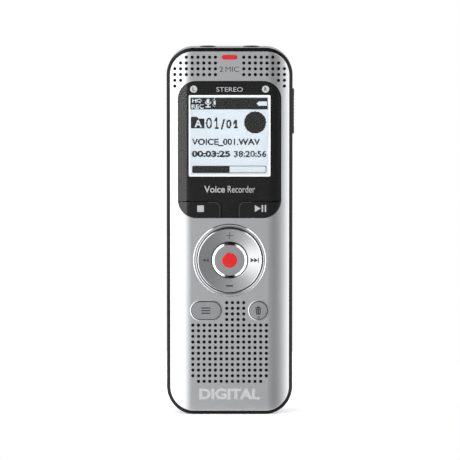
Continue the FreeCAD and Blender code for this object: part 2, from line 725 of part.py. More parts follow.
def nav_ring():
    """Four-way ring, dished towards the middle, with bevelled edges."""
    high = FRONT_Y - RING_PROUD
    low = high + RING_DISH
    profile = [
        (RING_HOLE_R, RING_BACK_Y),
        (RING_HOLE_R, low + RING_BEVEL),
        (RING_HOLE_R + RING_BEVEL, low),
        (RING_R - RING_BEVEL, high),
        (RING_R, high + RING_BEVEL),
        (RING_R, RING_BACK_Y),
    ]
    return turned(profile, RING_Z)


def nav_carrier():
    """Plate under the ring: it rocks up and down, and the ring rocks sideways on its two ridges."""
    disc = ring_y(RING_Z, RING_HOLE_R, CARRIER_R, CARRIER_Y, CARRIER_Y + CARRIER_T)
    ridges = []
    for side in (-1, 1):
        z = RING_Z + side * RING_MIDDLE_R
        z0, z1 = z - RIDGE_LENGTH / 2, z + RIDGE_LENGTH / 2
        ridges.append(box(-RIDGE_W / 2, RIDGE_W / 2, RING_BACK_Y + RIDGE_GAP, CARRIER_Y, z0, z1))
    return joined([disc] + ridges)


def record_key():
    """Round centre key with a wide bevel and a seat for its red inlay."""
    seat = RECORD_Y + DOT_SEAT
    profile = [
        (0, KEY_BACK_Y),
        (0, seat),
        (DOT_R + DOT_GAP, seat),
        (DOT_R + DOT_GAP, RECORD_Y),
        (RECORD_FACE_R, RECORD_Y),
        (RECORD_R, RECORD_Y + RECORD_BEVEL_D),
        (RECORD_R, KEY_BACK_Y),
    ]
    return turned(profile, RING_Z)


def record_dot():
    front = RECORD_Y - DOT_PROUD
    return rounded(rod_y(0, RING_Z, DOT_R, front, RECORD_Y + DOT_SEAT), DOT_EDGE_R, in_plane("y", front))


# ---- Board and keypad -----------------------------------------------------------------------------
def main_board():
    """Circuit board with clearance for the screws and the speaker's magnet."""
    board = outline(WALL + BOARD_INSET, BOARD_Y, BOARD_BACK_Y)
    places = [(x, z, SCREW_R + HOLE_CLEAR) for x, z, _ in SCREWS] + [(0, SPEAKER_Z, MAGNET_R + MAGNET_CLEAR)]
    return cut_all(board, [rod_y(x, z, r, BOARD_Y - BEYOND, BOARD_BACK_Y + BEYOND) for x, z, r in places])


def dome_places():
    """Middles of the keys and of the ring's four sides."""
    lower_x = (LOWER_KEY_SPLIT + WINDOW_W) / 4
    lower_z = WINDOW_Z0 + LOWER_KEY_H / 2
    return [
        (0, RING_Z),
        (0, RING_Z + RING_MIDDLE_R),
        (0, RING_Z - RING_MIDDLE_R),
        (-RING_MIDDLE_R, RING_Z),
        (RING_MIDDLE_R, RING_Z),
        (-lower_x, lower_z),
        (lower_x, lower_z),
        (MENU_KEY_X, SMALL_KEY_Z),
        (DELETE_KEY_X, SMALL_KEY_Z),
    ]


def key_domes():
    """Snap domes on the board, one under each key and each side of the ring."""
    return Part.makeCompound([rod_y(x, z, DOME_R, BOARD_Y - DOME_T, BOARD_Y) for x, z in dome_places()])


def keypad_mat():
    """Silicone sheet with a plunger over each dome."""
    half = max(FLAT_HALF_W + KEY_FLANGE_REACH, DELETE_KEY_X + SMALL_KEY_H / 2 + KEY_FLANGE)
    sheet = plate(-half, half, MAT_Z0, MAT_Z1, MAT_R, MAT_Y, MAT_Y + MAT_T)
    end_y = BOARD_Y - DOME_T - PLUNGER_GAP
    return joined([sheet] + [rod_y(x, z, PLUNGER_R, MAT_Y + MAT_T, end_y) for x, z in dome_places()])


def board_chips():
    """Packages on the back of the board, above the battery tray."""
    z0 = DOOR_Z1 + TRAY_WALL + CHIP_Z
    chips = []
    for x, rise, width, height, thickness in CHIPS:
        z = z0 + rise
        chips.append(box(x, x + width, BOARD_BACK_Y, BOARD_BACK_Y + thickness, z, z + height))
    return Part.makeCompound(chips)


# ---- Sound ----------------------------------------------------------------------------------------
def mic_capsules():
    y0 = WALL_BACK_Y + MIC_STANDOFF
    return Part.makeCompound([rod_y(side * MIC_X, MIC_Z, MIC_R, y0, y0 + MIC_T) for side in (-1, 1)])


def mic_boots():
    """Rubber cups that seal each microphone to the front wall."""
    y1 = WALL_BACK_Y + MIC_STANDOFF + MIC_T
    boots = []
    for side in (-1, 1):
        cup = rod_y(side * MIC_X, MIC_Z, MIC_R + MIC_BOOT_WALL, WALL_BACK_Y, y1 + MIC_BOOT_BACK)
        boots.append(cup.cut(rod_y(side * MIC_X, MIC_Z, MIC_R, AHEAD_Y, y1)))
    return Part.makeCompound(boots)


def speaker_mesh():
    """Dust cloth right behind the speaker's grille."""
    y0 = FRONT_Y + SKIN_T + MESH_GAP
    return speaker_opening(BOND_GAP, y0, y0 + MESH_T)


def speaker_gasket():
    return ring_y(SPEAKER_Z, SPEAKER_R - GASKET_W, SPEAKER_R, WALL_BACK_Y, SPEAKER_Y)


def speaker_basket():
    """Pressed rim and back of the speaker, open to the front."""
    cup = rod_y(0, SPEAKER_Z, SPEAKER_R, SPEAKER_Y, SPEAKER_Y + SPEAKER_DEPTH)
    inner_r, inner_y = SPEAKER_R - SPEAKER_SHEET_T, SPEAKER_Y + SPEAKER_DEPTH - SPEAKER_SHEET_T
    return cup.cut(rod_y(0, SPEAKER_Z, inner_r, AHEAD_Y, inner_y))


def speaker_cone():
    """Paper cone with a raised roll at its edge and a sunk cap in the middle."""
    edge_r = SPEAKER_R - SPEAKER_SHEET_T - CONE_GAP
    edge_y = SPEAKER_Y + CONE_FRONT_GAP + CONE_ROLL_RISE
    line = [
        (0, SPEAKER_Y + CONE_FRONT_GAP),
        (CAP_R, SPEAKER_Y + CAP_DEPTH),
        (edge_r - CONE_ROLL_W, SPEAKER_Y + CONE_FRONT_GAP),
        (edge_r, edge_y),
    ]
    return turned(line + [(r, y + CONE_T) for r, y in reversed(line)], SPEAKER_Z)


def speaker_magnet():
    return rod_y(0, SPEAKER_Z, MAGNET_R, SPEAKER_Y + SPEAKER_DEPTH, BOARD_BACK_Y - MAGNET_GAP)


# ---- Rear housing and battery door ------------------------------------------------------------------
def rear_shape():
    """The rear half's outer shape, with its rounded back edge."""
    return rounded(outline(0, PARTING_Y, BACK_Y), BACK_EDGE_R, in_plane("y", BACK_Y))


def rear_housing():
    """Black plastic shell with the battery tray, the door's channel and openings for the sockets."""
    shell = rear_shape().cut(outline(WALL, PARTING_Y - BEYOND, BACK_Y - WALL))
    root_y = BACK_Y - WALL + BOSS_ROOT
    tray_z0, tray_z1 = TRAY_Z - TRAY_WALL, DOOR_Z1 + TRAY_WALL
    tray = box(-TRAY_HALF_W, TRAY_HALF_W, TRAY_FRONT_Y, root_y, tray_z0, tray_z1)
    bosses = [rod_y(x, z, REAR_BOSS_R, BOARD_BACK_Y, root_y) for x, z, _ in SCREWS]
    tools = [usb_opening(), *cell_bays(), *door_channel(), *slider_openings()]
    collar_r = JACK_COLLAR_R + JACK_COLLAR_GAP
    tools += [rod_z(side * JACK_X, JACK_Y, collar_r, JACK_BODY_Z1, HEIGHT + BEYOND) for side in (-1, 1)]
    for x, z, seat_y in SCREWS:
        tools.append(rod_y(x, z, SCREW_R + SCREW_CLEAR, BOARD_BACK_Y - BEYOND, BACK_Y))
        tools.append(rod_y(x, z, SCREW_HEAD_R + SCREW_HEAD_CLEAR, seat_y - SCREW_HEAD_T, BACK_Y + BEYOND))
    return cut_all(joined([shell, tray] + bosses), tools)


def cell_bays():
    """Two round-bottomed bays, open to the back, joined by a slot for the lower contact plate."""
    radius = CELL_R + CELL_CLEAR
    bays = [contact_plate(-CELL_X, CELL_X, TRAY_Z, PLATE_T + BOND_GAP)]
    for x in (-CELL_X, CELL_X):
        bays.append(rod_z(x, CELL_Y, radius, TRAY_Z, BAY_Z1))
        bays.append(box(x - radius, x + radius, CELL_Y, BACK_Y + BEYOND, TRAY_Z, BAY_Z1))
    return bays


def door_channel():
    """The door's recess, its rails' grooves, open at the bottom end, and the latch's pocket."""
    y0 = DOOR_Y - DOOR_GAP
    groove_y1 = DOOR_Y + RAIL_T + DOOR_GAP
    half = DOOR_HALF_W + DOOR_GAP
    latch_half = LATCH_W / 2 + LATCH_GAP
    return [
        box(-half, half, y0, BACK_Y + BEYOND, -BEYOND, DOOR_Z1 + DOOR_GAP),
        box(-half - RAIL_W, half + RAIL_W, y0, groove_y1, -BEYOND, RAIL_Z1 + RAIL_END_GAP),
        box(-latch_half, latch_half, y0, groove_y1, DOOR_Z1, DOOR_Z1 + RAIL_W + RAIL_END_GAP),
    ]


def battery_door():
    """Sliding back cover with side rails, a latch tongue and grip ribs in a thumb recess."""
    half = DOOR_HALF_W
    door = joined([
        rear_shape().common(box(-half, half, DOOR_Y, BACK_Y + BEYOND, DOOR_BOTTOM, DOOR_Z1)),
        box(-half - RAIL_W, half + RAIL_W, DOOR_Y, DOOR_Y + RAIL_T, RAIL_Z, RAIL_Z1),
        box(-LATCH_W / 2, LATCH_W / 2, DOOR_Y, DOOR_Y + RAIL_T, DOOR_Z1 - LATCH_ROOT, DOOR_Z1 + RAIL_W),
    ])
    top = DOOR_Z1 - THUMB_DROP
    y0, y1 = BACK_Y - THUMB_DEPTH, BACK_Y + BEYOND
    thumb = plate(-THUMB_W / 2, THUMB_W / 2, top - THUMB_H, top, THUMB_R, y0, y1)
    ribs = []
    for row, width in enumerate(RIB_WIDTHS):
        z = top - RIB_DROP - row * RIB_PITCH
        ribs.append(plate(-width / 2, width / 2, z - RIB_H, z, RIB_R, BACK_Y - RIB_ROOT, BACK_Y))
    return joined([door.cut(thumb).cut(door_pad())] + ribs)


def door_pad():
    """Foam strip let into the door's inside, over the line between the cells."""
    y0 = DOOR_Y - DOOR_GAP / 2
    middle = (TRAY_Z + BAY_Z1) / 2
    z0, z1 = middle - PAD_LENGTH / 2, middle + PAD_LENGTH / 2
    return plate(-PAD_W / 2, PAD_W / 2, z0, z1, PAD_R, y0, y0 + PAD_T)


def housing_screws():
    """Four cross-headed screws that clamp the rear housing and the board to the front housing."""
    screws = []
    for x, z, seat_y in SCREWS:
        shank = rod_y(x, z, SCREW_R - SCREW_FIT, BOARD_Y - SCREW_BITE + SCREW_END_GAP, seat_y)
        head = rod_y(x, z, SCREW_HEAD_R, seat_y - SCREW_HEAD_T, seat_y)
        screw = joined([shank, rounded(head, SCREW_HEAD_EDGE_R, in_plane("y", seat_y))])
        cross = []
        for a, b in ((CROSS_LENGTH / 2, CROSS_W / 2), (CROSS_W / 2, CROSS_LENGTH / 2)):
            cross.append(box(x - a, x + a, seat_y - CROSS_DEPTH, seat_y + BEYOND, z - b, z + b))
        screws.append(cut_all(screw, cross))
    return Part.makeCompound(screws)


# ---- Power --------------------------------------------------------------------------------------
def cell(side):
    """AAA cell with its positive nub; the left cell stands nub up, the right one nub down."""
    x = side * CELL_X
    z0 = TRAY_Z + PLATE_T + CELL_CLEAR
    if side < 0:
        z0 += SPRING_ROOM
        can_z = z0
        nub_z = z0 + CELL_LENGTH - 2 * NUB_H
    else:
        can_z = z0 + NUB_H
        nub_z = z0
    can = rod_z(x, CELL_Y, CELL_R, can_z, can_z + CELL_LENGTH - NUB_H)
    can = rounded(can, CELL_EDGE_R, lambda e: e.BoundBox.ZLength < TINY)
    return joined([can, rod_z(x, CELL_Y, NUB_R, nub_z, nub_z + 2 * NUB_H)])


def contact_plate(x0, x1, z0, thickness):
    reach = CELL_R - PLATE_INSET
    return box(x0, x1, CELL_Y - reach, CELL_Y + reach, z0, z0 + thickness)


def contact_plates():
    """Metal plates at both ends of the bays; the lower one joins the two cells."""
    plates = [contact_plate(-CELL_X - PLATE_REACH, CELL_X + PLATE_REACH, TRAY_Z, PLATE_T)]
    for x in (-CELL_X, CELL_X):
        plates.append(contact_plate(x - PLATE_REACH, x + PLATE_REACH, BAY_Z1 - PLATE_T, PLATE_T))
    return Part.makeCompound(plates)


def spring():
    """Conical coil of faceted wire that rises from the wide turn at z = 0."""
    height = SPRING_ROOM - 2 * SPRING_WIRE_R - 2 * SPRING_GAP
    steps = SPRING_TURNS * SPRING_STEPS
    points = []
    for k in range(steps + 1):
        z = height * k / steps
        radius = SPRING_R - z * math.tan(math.radians(SPRING_TAPER_DEG))
        turn = math.tau * k / SPRING_STEPS
        points.append(V(radius * math.cos(turn), radius * math.sin(turn), z))
    along = (points[1] - points[0]).normalize()
    across = along.cross(V(0, 0, 1)).normalize()
    upright = across.cross(along)
    corners = []
    for k in range(SPRING_SIDES + 1):
        turn = math.tau * k / SPRING_SIDES
        offset = across * math.cos(turn) + upright * math.sin(turn)
        corners.append(points[0] + offset * SPRING_WIRE_R)
    mitred = 1
    return Part.makePolygon(points).makePipeShell([Part.makePolygon(corners)], True, False, mitred)


def battery_springs():
    """Contact springs, one at each cell's negative end, the wide turn on the plate."""
    lower = spring()
    upper = lower.mirror(V(0, 0, 0), V(0, 0, 1))
    rise = PLATE_T + SPRING_WIRE_R + SPRING_GAP
    lower.translate(V(-CELL_X, CELL_Y, TRAY_Z + rise))
    upper.translate(V(CELL_X, CELL_Y, BAY_Z1 - rise))
    return Part.makeCompound([lower, upper])


# ---- Sockets and switch ---------------------------------------------------------------------------
def jack(side):
    """Socket for a 3.5 mm plug: body on the board, collar through the top wall, blind bore."""
    x = side * JACK_X
    half = JACK_BODY_W / 2
    z0 = JACK_BODY_Z1 - JACK_BODY_LENGTH
    body = box(x - half, x + half, BOARD_BACK_Y, BOARD_BACK_Y + JACK_BODY_W, z0, JACK_BODY_Z1)
    collar = rod_z(x, JACK_Y, JACK_COLLAR_R, JACK_BODY_Z1 - BOSS_ROOT, JACK_MOUTH_Z)
    collar = rounded(collar, JACK_COLLAR_EDGE_R, in_plane("z", JACK_MOUTH_Z))
    bore = rod_z(x, JACK_Y, JACK_R, JACK_MOUTH_Z - JACK_DEPTH, JACK_MOUTH_Z + BEYOND)
    return joined([body, collar]).cut(bore)


def usb_shell():
    """Folded metal shell of the data socket, open at the bottom end."""
    half = USB_W / 2
    shell = plate_z(-half, half, USB_Y0, USB_Y1, USB_R, USB_SINK, USB_LENGTH)
    inner = half - USB_SHELL
    y0, y1 = USB_Y0 + USB_SHELL, USB_Y1 - USB_SHELL
    return shell.cut(plate_z(-inner, inner, y0, y1, USB_R - USB_SHELL, -BEYOND, USB_LENGTH - USB_SHELL))


def usb_tongue():
    """Plastic foot and tongue that carry the contacts inside the data socket."""
    inner = USB_W / 2 - USB_SHELL
    foot_half = inner - USB_FOOT_GAP
    y0, y1 = USB_Y0 + USB_SHELL + USB_FOOT_GAP, USB_Y1 - USB_SHELL - USB_FOOT_GAP
    z1 = USB_LENGTH - USB_SHELL
    foot = plate_z(-foot_half, foot_half, y0, y1, USB_R - USB_SHELL, z1 - USB_FOOT_T, z1)
    half = inner - TONGUE_SIDE
    middle = (y0 + y1) / 2
    return joined([foot, box(-half, half, middle, middle + TONGUE_T, TONGUE_SINK, z1 - NEAR_FULL)])


def slider_openings():
    """Recess in the right side for the slider's cap, and the slot for its stem."""
    half = SLIDER_LENGTH / 2 + SLIDER_TRAVEL + SLIDER_END_GAP
    half_h = SLIDER_H / 2 + SLIDER_GAP
    z0, z1 = SLIDER_Z - half, SLIDER_Z + half
    recess_x = SIDE_X - SLIDER_RECESS
    recess = plate_x(SLIDER_Y - half_h, SLIDER_Y + half_h, z0, z1, SLIDER_R, recess_x, SIDE_X + BEYOND)
    slot_half = STEM_LENGTH / 2 + SLIDER_TRAVEL + SLIDER_GAP
    slot_half_h = STEM_H / 2 + SLIDER_GAP
    y0, y1 = SLIDER_Y - slot_half_h, SLIDER_Y + slot_half_h
    return [recess, box(SIDE_X - BEYOND, SIDE_X, y0, y1, SLIDER_Z - slot_half, SLIDER_Z + slot_half)]


def hold_slider():
    """Slider with grip grooves outside, a stem through the slot, and a keeper and peg inside."""
    base, top = SIDE_X - SLIDER_RECESS + SLIDER_GAP, SIDE_X + SLIDER_PROUD
    half, half_h = SLIDER_LENGTH / 2, SLIDER_H / 2
    y0, y1 = SLIDER_Y - half_h, SLIDER_Y + half_h
    cap = plate_x(y0, y1, SLIDER_Z - half, SLIDER_Z + half, SLIDER_R, base, top)
    cap = rounded(cap, SLIDER_EDGE_R, in_plane("x", top))
    grooves = []
    for k in range(GRIP_COUNT):
        z = SLIDER_Z + (k - (GRIP_COUNT - 1) / 2) * GRIP_PITCH
        grooves.append(rod_y(top + GRIP_RISE, z, GRIP_R, y0 + GRIP_MARGIN, y1 - GRIP_MARGIN))
    return joined([
        cut_all(cap, grooves),
        slider_block(KEEPER_X, base, STEM_H, STEM_LENGTH, 0),
        slider_block(KEEPER_X - KEEPER_T, KEEPER_X, SLIDER_H, STEM_LENGTH + 2 * KEEPER_LAP, 0),
        slider_block(KEEPER_X - KEEPER_T - PEG_LENGTH, KEEPER_X - KEEPER_T, PEG, PEG, PEG_DROP),
    ])


def slider_block(x0, x1, height, length, forward):
    """Block on the slider's line of travel, moved forward from its centre."""
    y, half_h, half = SLIDER_Y - forward, height / 2, length / 2
    return box(x0, x1, y - half_h, y + half_h, SLIDER_Z - half, SLIDER_Z + half)


def switch_body():
    """Slide switch on the board, with the groove that the slider's peg runs in."""
    y1 = SLIDER_Y + SWITCH_LAP
    z0, z1 = SLIDER_Z - SWITCH_H / 2, SLIDER_Z + SWITCH_H / 2
    body = box(SWITCH_X - SWITCH_W, SWITCH_X, BOARD_BACK_Y, y1, z0, z1)
    groove_x = KEEPER_X - KEEPER_T - PEG_LENGTH - SLIDER_GAP
    height = PEG + 2 * SLIDER_END_GAP
    length = PEG + 2 * (SLIDER_TRAVEL + SLIDER_END_GAP)
    return body.cut(slider_block(groove_x, SIDE_X, height, length, PEG_DROP))


NODES = {
    "front_cover": front_cover,
    "front_housing": front_housing,
    "ring_bezel": ring_bezel,
    "led_light_pipe": led_light_pipe,
    "record_led": record_led,
    "window_lens": window_lens,
    "window_mask": window_mask,
    "window_adhesive": window_adhesive,
    "lcd_glass": lcd_glass,
    "lcd_backlight": lcd_backlight,
    "lcd_holder": lcd_holder,
    "lcd_flex": lcd_flex,
    "stop_key": lambda: lower_key(-1),
    "play_key": lambda: lower_key(1),
    "menu_key": lambda: small_key(menu_shape),
    "delete_key": delete_key,
    "nav_ring": nav_ring,
    "nav_carrier": nav_carrier,
    "record_key": record_key,
    "record_dot": record_dot,
    "main_board": main_board,
    "key_domes": key_domes,
    "keypad_mat": keypad_mat,
    "board_chips": board_chips,
    "mic_capsules": mic_capsules,
    "mic_boots": mic_boots,
    "speaker_mesh": speaker_mesh,
    "speaker_gasket": speaker_gasket,
    "speaker_basket": speaker_basket,
    "speaker_cone": speaker_cone,
    "speaker_magnet": speaker_magnet,
    "rear_housing": rear_housing,
    "battery_door": battery_door,
    "door_pad": door_pad,
    "housing_screws": housing_screws,
    "battery_left": lambda: cell(-1),
    "battery_right": lambda: cell(1),
    "contact_plates": contact_plates,
    "battery_springs": battery_springs,
    "headphone_jack": lambda: jack(-1),
    "microphone_jack": lambda: jack(1),
    "usb_shell": usb_shell,
    "usb_tongue": usb_tongue,
    "hold_slider": hold_slider,
    "switch_body": switch_body,
}


def main():
    os.makedirs("parts", exist_ok=True)
    for name, make in NODES.items():
        shape = make()
        print(f"{name}: {len(shape.Solids)} solids, {shape.Volume:.1f} mm3, valid {shape.isValid()}")
        shape.exportStep(f"parts/{name}.step")


main()
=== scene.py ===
"""Looks of a handheld voice recorder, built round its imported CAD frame.

Everything is in metres in the frame of the part: +Z up along the case, the front faces -Y. Sizes in
this file are millimetres and are turned to metres where a mesh is made.
"""

import json
import logging
import math
from dataclasses import dataclass
from enum import Enum
from typing import Callable, Sequence

import bmesh
import bpy
from mathutils import Matrix, Vector
from mathutils.bvhtree import BVHTree

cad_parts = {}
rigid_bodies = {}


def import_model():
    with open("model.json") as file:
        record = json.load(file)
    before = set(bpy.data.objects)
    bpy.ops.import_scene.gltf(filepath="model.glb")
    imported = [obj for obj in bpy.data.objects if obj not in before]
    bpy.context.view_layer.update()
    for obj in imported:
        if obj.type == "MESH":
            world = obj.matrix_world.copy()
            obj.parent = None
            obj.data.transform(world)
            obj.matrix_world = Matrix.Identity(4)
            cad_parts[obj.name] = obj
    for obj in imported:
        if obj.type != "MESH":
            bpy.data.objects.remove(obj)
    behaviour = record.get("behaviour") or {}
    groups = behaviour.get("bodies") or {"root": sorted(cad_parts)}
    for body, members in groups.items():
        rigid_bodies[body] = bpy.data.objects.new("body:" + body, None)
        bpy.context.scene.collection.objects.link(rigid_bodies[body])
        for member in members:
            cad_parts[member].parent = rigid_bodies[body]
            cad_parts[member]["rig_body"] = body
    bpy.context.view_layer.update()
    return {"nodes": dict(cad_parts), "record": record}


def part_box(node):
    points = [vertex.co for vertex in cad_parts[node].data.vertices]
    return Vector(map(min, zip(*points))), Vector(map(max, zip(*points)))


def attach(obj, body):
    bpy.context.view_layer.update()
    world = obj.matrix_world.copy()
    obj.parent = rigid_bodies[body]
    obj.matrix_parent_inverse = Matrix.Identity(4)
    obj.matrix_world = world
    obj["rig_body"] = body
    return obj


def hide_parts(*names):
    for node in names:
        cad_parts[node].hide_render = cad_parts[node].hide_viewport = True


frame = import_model()

LOG = logging.getLogger("recorder")
MM = 0.001
SLOT_OF_NODE: dict[str, str] = {s["node"]: s["material_slot"] for s in frame["record"]["subparts"]}

WELD = 5e-7  # corners of a copied node that are nearer than this are one
PLATE_WELD = 1e-6  # the same for a flat plate, in the plate's own unit
MOTTLE_DETAIL = 3.0
GRAIN_DETAIL = 2.0
GLOSS_SPAN = 3.0  # a surface's gloss changes over this many grains
LEAST_ROUGHNESS = 0.01
TEXT_STEPS = 4  # how many sides stand for a letter's curve

Loop = Sequence[tuple[float, float]]
Box = tuple[float, float, float, float]  # left, right, bottom and top
Surface = Callable[[float, float], float]


# ---- Node trees -----------------------------------------------------------------------------------
def linear(code: str) -> tuple[float, float, float, float]:
    """Turns an sRGB hex colour to linear light.

    Args:
        code: six hex digits, with or without a hash sign.

    Returns:
        Red, green, blue and alpha.
    """
    digits = code.lstrip("#")
    parts = [int(digits[i : i + 2], 16) / 255 for i in (0, 2, 4)]
    red, green, blue = (c / 12.92 if c <= 0.04045 else ((c + 0.055) / 1.055) ** 2.4 for c in parts)
    return red, green, blue, 1.0


def add_node(tree: bpy.types.NodeTree, kind: str, values: dict | None = None, links: dict | None = None,
             **settings: object) -> bpy.types.Node:
    """Adds a node with its settings, input values and links.

    Args:
        tree: the tree that gets the node.
        kind: the node's type name.
        values: input name or number to its value.
        links: input name or number to the output socket that feeds it.
        **settings: the node's own properties.

    Returns:
        The new node.
    """
    node = tree.nodes.new(kind)
    for name, value in settings.items():
        setattr(node, name, value)
    for socket, value in (values or {}).items():
        node.inputs[socket].default_value = value
    for socket, source in (links or {}).items():
        tree.links.new(source, node.inputs[socket])
    return node


# ---- Finishes -------------------------------------------------------------------------------------
BUILT: dict[str, bpy.types.Material] = {}  # by name; the frame's own materials aren't among them


@dataclass(frozen=True)
class Finish:
    """A surface: two near shades mottled over it, a grain that stands out in bump, and its gloss."""

    name: str
    colour: str
    shade: str
    roughness: float
    roughness_spread: float = 0.06
    mottle_mm: float = 6.0
    grain_mm: float = 0.4
    grain_rise_mm: float = 0.004
    metallic: float = 0.0
    ior: float = 1.5
    coat: float = 0.0
    coat_roughness: float = 0.04
    sheen: float = 0.0
    transmission: float = 0.0
    glow: float = 0.0
    glow_colour: str = ""

    def position(self, tree: bpy.types.NodeTree) -> bpy.types.NodeSocket:
        """Gives the point on the object."""
        return add_node(tree, "ShaderNodeTexCoord").outputs["Object"]

    def noise(self, tree: bpy.types.NodeTree, size_mm: float, detail: float) -> bpy.types.NodeSocket:
        """Gives a noise whose features are about size_mm across."""
        values = {"Scale": 1 / (size_mm * MM), "Detail": detail}
        return add_node(tree, "ShaderNodeTexNoise", values, {"Vector": self.position(tree)}).outputs[0]

    def tint(self, tree: bpy.types.NodeTree) -> bpy.types.NodeSocket:
        """Makes the colour: the two shades, mixed by a soft noise.

        Args:
            tree: the material's tree.

        Returns:
            The colour's socket.
        """
        values = {"A": linear(self.colour), "B": linear(self.shade)}
        mix = add_node(tree, "ShaderNodeMix", data_type="RGBA")
        for socket in mix.inputs:
            if socket.type == "RGBA" and socket.name in values:
                socket.default_value = values[socket.name]
        tree.links.new(self.noise(tree, self.mottle_mm, MOTTLE_DETAIL), mix.inputs[0])
        return next(o for o in mix.outputs if o.type == "RGBA")

    def relief(self, tree: bpy.types.NodeTree) -> bpy.types.NodeSocket:
        """Gives the height, from 0 to 1, of the grain."""
        return self.noise(tree, self.grain_mm, GRAIN_DETAIL)

    def build(self) -> bpy.types.Material:
        """Makes the material, or finds the one already made.

        Returns:
            The material, with its tint, gloss and relief driven by patterns in millimetres.
        """
        if self.name in BUILT:
            return BUILT[self.name]
        material = BUILT[self.name] = bpy.data.materials.new(self.name)
        material.use_nodes = True
        tree = material.node_tree
        shader = tree.nodes["Principled BSDF"]
        low, high = self.roughness - self.roughness_spread, self.roughness + self.roughness_spread
        gloss = add_node(tree, "ShaderNodeMapRange", {"To Min": max(low, LEAST_ROUGHNESS), "To Max": high},
                         {"Value": self.noise(tree, self.grain_mm * GLOSS_SPAN, GRAIN_DETAIL)})
        bump = add_node(tree, "ShaderNodeBump", {"Distance": self.grain_rise_mm * MM},
                        {"Height": self.relief(tree)})
        tree.links.new(self.tint(tree), shader.inputs["Base Color"])
        tree.links.new(gloss.outputs[0], shader.inputs["Roughness"])
        tree.links.new(bump.outputs[0], shader.inputs["Normal"])
        for socket, value in (("Metallic", self.metallic), ("IOR", self.ior), ("Coat Weight", self.coat),
                              ("Coat Roughness", self.coat_roughness), ("Sheen Weight", self.sheen),
                              ("Transmission Weight", self.transmission)):
            shader.inputs[socket].default_value = value
        if self.glow:
            shader.inputs["Emission Color"].default_value = linear(self.glow_colour or self.colour)
            shader.inputs["Emission Strength"].default_value = self.glow
        return material


@dataclass(frozen=True)
class FlakePaint(Finish):
    """Lacquer or blasted metal whose small facets each catch the light a little differently."""

    flake_mm: float = 0.22

    def relief(self, tree: bpy.types.NodeTree) -> bpy.types.NodeSocket:
        """Gives the height of the facets, which dip toward their middles."""
        values, links = {"Scale": 1 / (self.flake_mm * MM)}, {"Vector": self.position(tree)}
        return add_node(tree, "ShaderNodeTexVoronoi", values, links).outputs["Distance"]


@dataclass(frozen=True)
class Woven(Finish):
    """Cloth of two crossing sets of threads."""

    thread_mm: float = 0.3

    def relief(self, tree: bpy.types.NodeTree) -> bpy.types.NodeSocket:
        """Makes the height of the threads, as two crossed waves.

        Args:
            tree: the material's tree.

        Returns:
            The height's socket. A wave texture of scale 1 repeats every pi / 10.
        """
        values, links = {"Scale": math.pi / 10 / (self.thread_mm * MM)}, {"Vector": self.position(tree)}
        warp, weft = (add_node(tree, "ShaderNodeTexWave", values, links, bands_direction=axis).outputs["Fac"]
                      for axis in ("X", "Z"))
        return add_node(tree, "ShaderNodeMath", links={0: warp, 1: weft}, operation="MULTIPLY").outputs[0]


@dataclass(frozen=True)
class Banded(Finish):
    """Printed wrap with a coloured end band, set by height along the cell."""

    band: str = "#A9834B"
    edge_z_mm: float = 41.0
    edge_blur_mm: float = 0.05

    def tint(self, tree: bpy.types.NodeTree) -> bpy.types.NodeSocket:
        """Makes the colour: the wrap's below the band's edge and the band's above it.

        Args:
            tree: the material's tree.

        Returns:
            The colour's socket.
        """
        height = add_node(tree, "ShaderNodeSeparateXYZ", links={0: self.position(tree)}).outputs[2]
        limits = {"From Min": (self.edge_z_mm - self.edge_blur_mm) * MM,
                  "From Max": (self.edge_z_mm + self.edge_blur_mm) * MM}
        edge = add_node(tree, "ShaderNodeMapRange", limits, {"Value": height})
        mix = add_node(tree, "ShaderNodeMix", data_type="RGBA")
        colours = [s for s in mix.inputs if s.type == "RGBA"]
        tree.links.new(super().tint(tree), colours[0])
        colours[1].default_value = linear(self.band)
        tree.links.new(edge.outputs[0], mix.inputs[0])
        return next(o for o in mix.outputs if o.type == "RGBA")


# After a finish's two shades come its roughness and the spread of that, then the sizes of its mottle
# and grain and the grain's rise, in millimetres.
# Bead-blasted, clear-anodised aluminium sheet: an even, silky sheen. The blasting's pits are about
# 0.05 mm and are drawn at 0.3 mm, so that they still show.
SKIN = FlakePaint("anodised_aluminium", "#C3C4C6", "#BCBDBF", 0.33, 0.03, 9.0, 0.3, 0.0016, metallic=1.0,
                  flake_mm=0.3)
# Metallic lacquer on moulded ABS: a smoother, brighter sheen than the sheet's.
RING_PAINT = FlakePaint("metallic_lacquer_abs", "#CFD0D1", "#C6C7C9", 0.19, 0.02, 6.0, 0.25, 0.0012,
                        metallic=1.0, flake_mm=0.25)
# The same lacquer with a matt clear coat: flat grey, with a cool cast.
KEY_PAINT = FlakePaint("matt_lacquer_abs", "#949698", "#8E9092", 0.42, 0.05, 5.0, 0.25, 0.0015,
                       metallic=0.7, flake_mm=0.25)
# Chrome plating on ABS, polished: a mirror with the faintest ripple of the moulding below it.
CHROME = Finish("chrome_plated_abs", "#EDEDEF", "#E6E6E9", 0.06, 0.02, 4.0, 2.5, 0.0008, metallic=1.0)
# The plated key's face, satin-turned.
KEY_FACE = FlakePaint("satin_chrome_abs", "#A9A9AB", "#A2A2A5", 0.36, 0.04, 3.0, 0.2, 0.0012, metallic=1.0,
                      flake_mm=0.2)
# Spark-eroded ABS: dark, with a fine even grain that softens its highlights.
RIM = Finish("fine_black_abs", "#070708", "#050506", 0.32, 0.04, 7.0, 0.35, 0.003, ior=1.27)
HOUSING = Finish("textured_black_abs", "#1B1B1D", "#161618", 0.36, 0.06, 7.0, 0.35, 0.006)
DOOR = Finish("textured_black_abs_door", "#1D1D1F", "#18181A", 0.42, 0.06, 7.0, 0.4, 0.008)
SOCKET = Finish("black_nylon", "#101011", "#0C0C0D", 0.32, 0.06, 3.0, 0.3, 0.004)
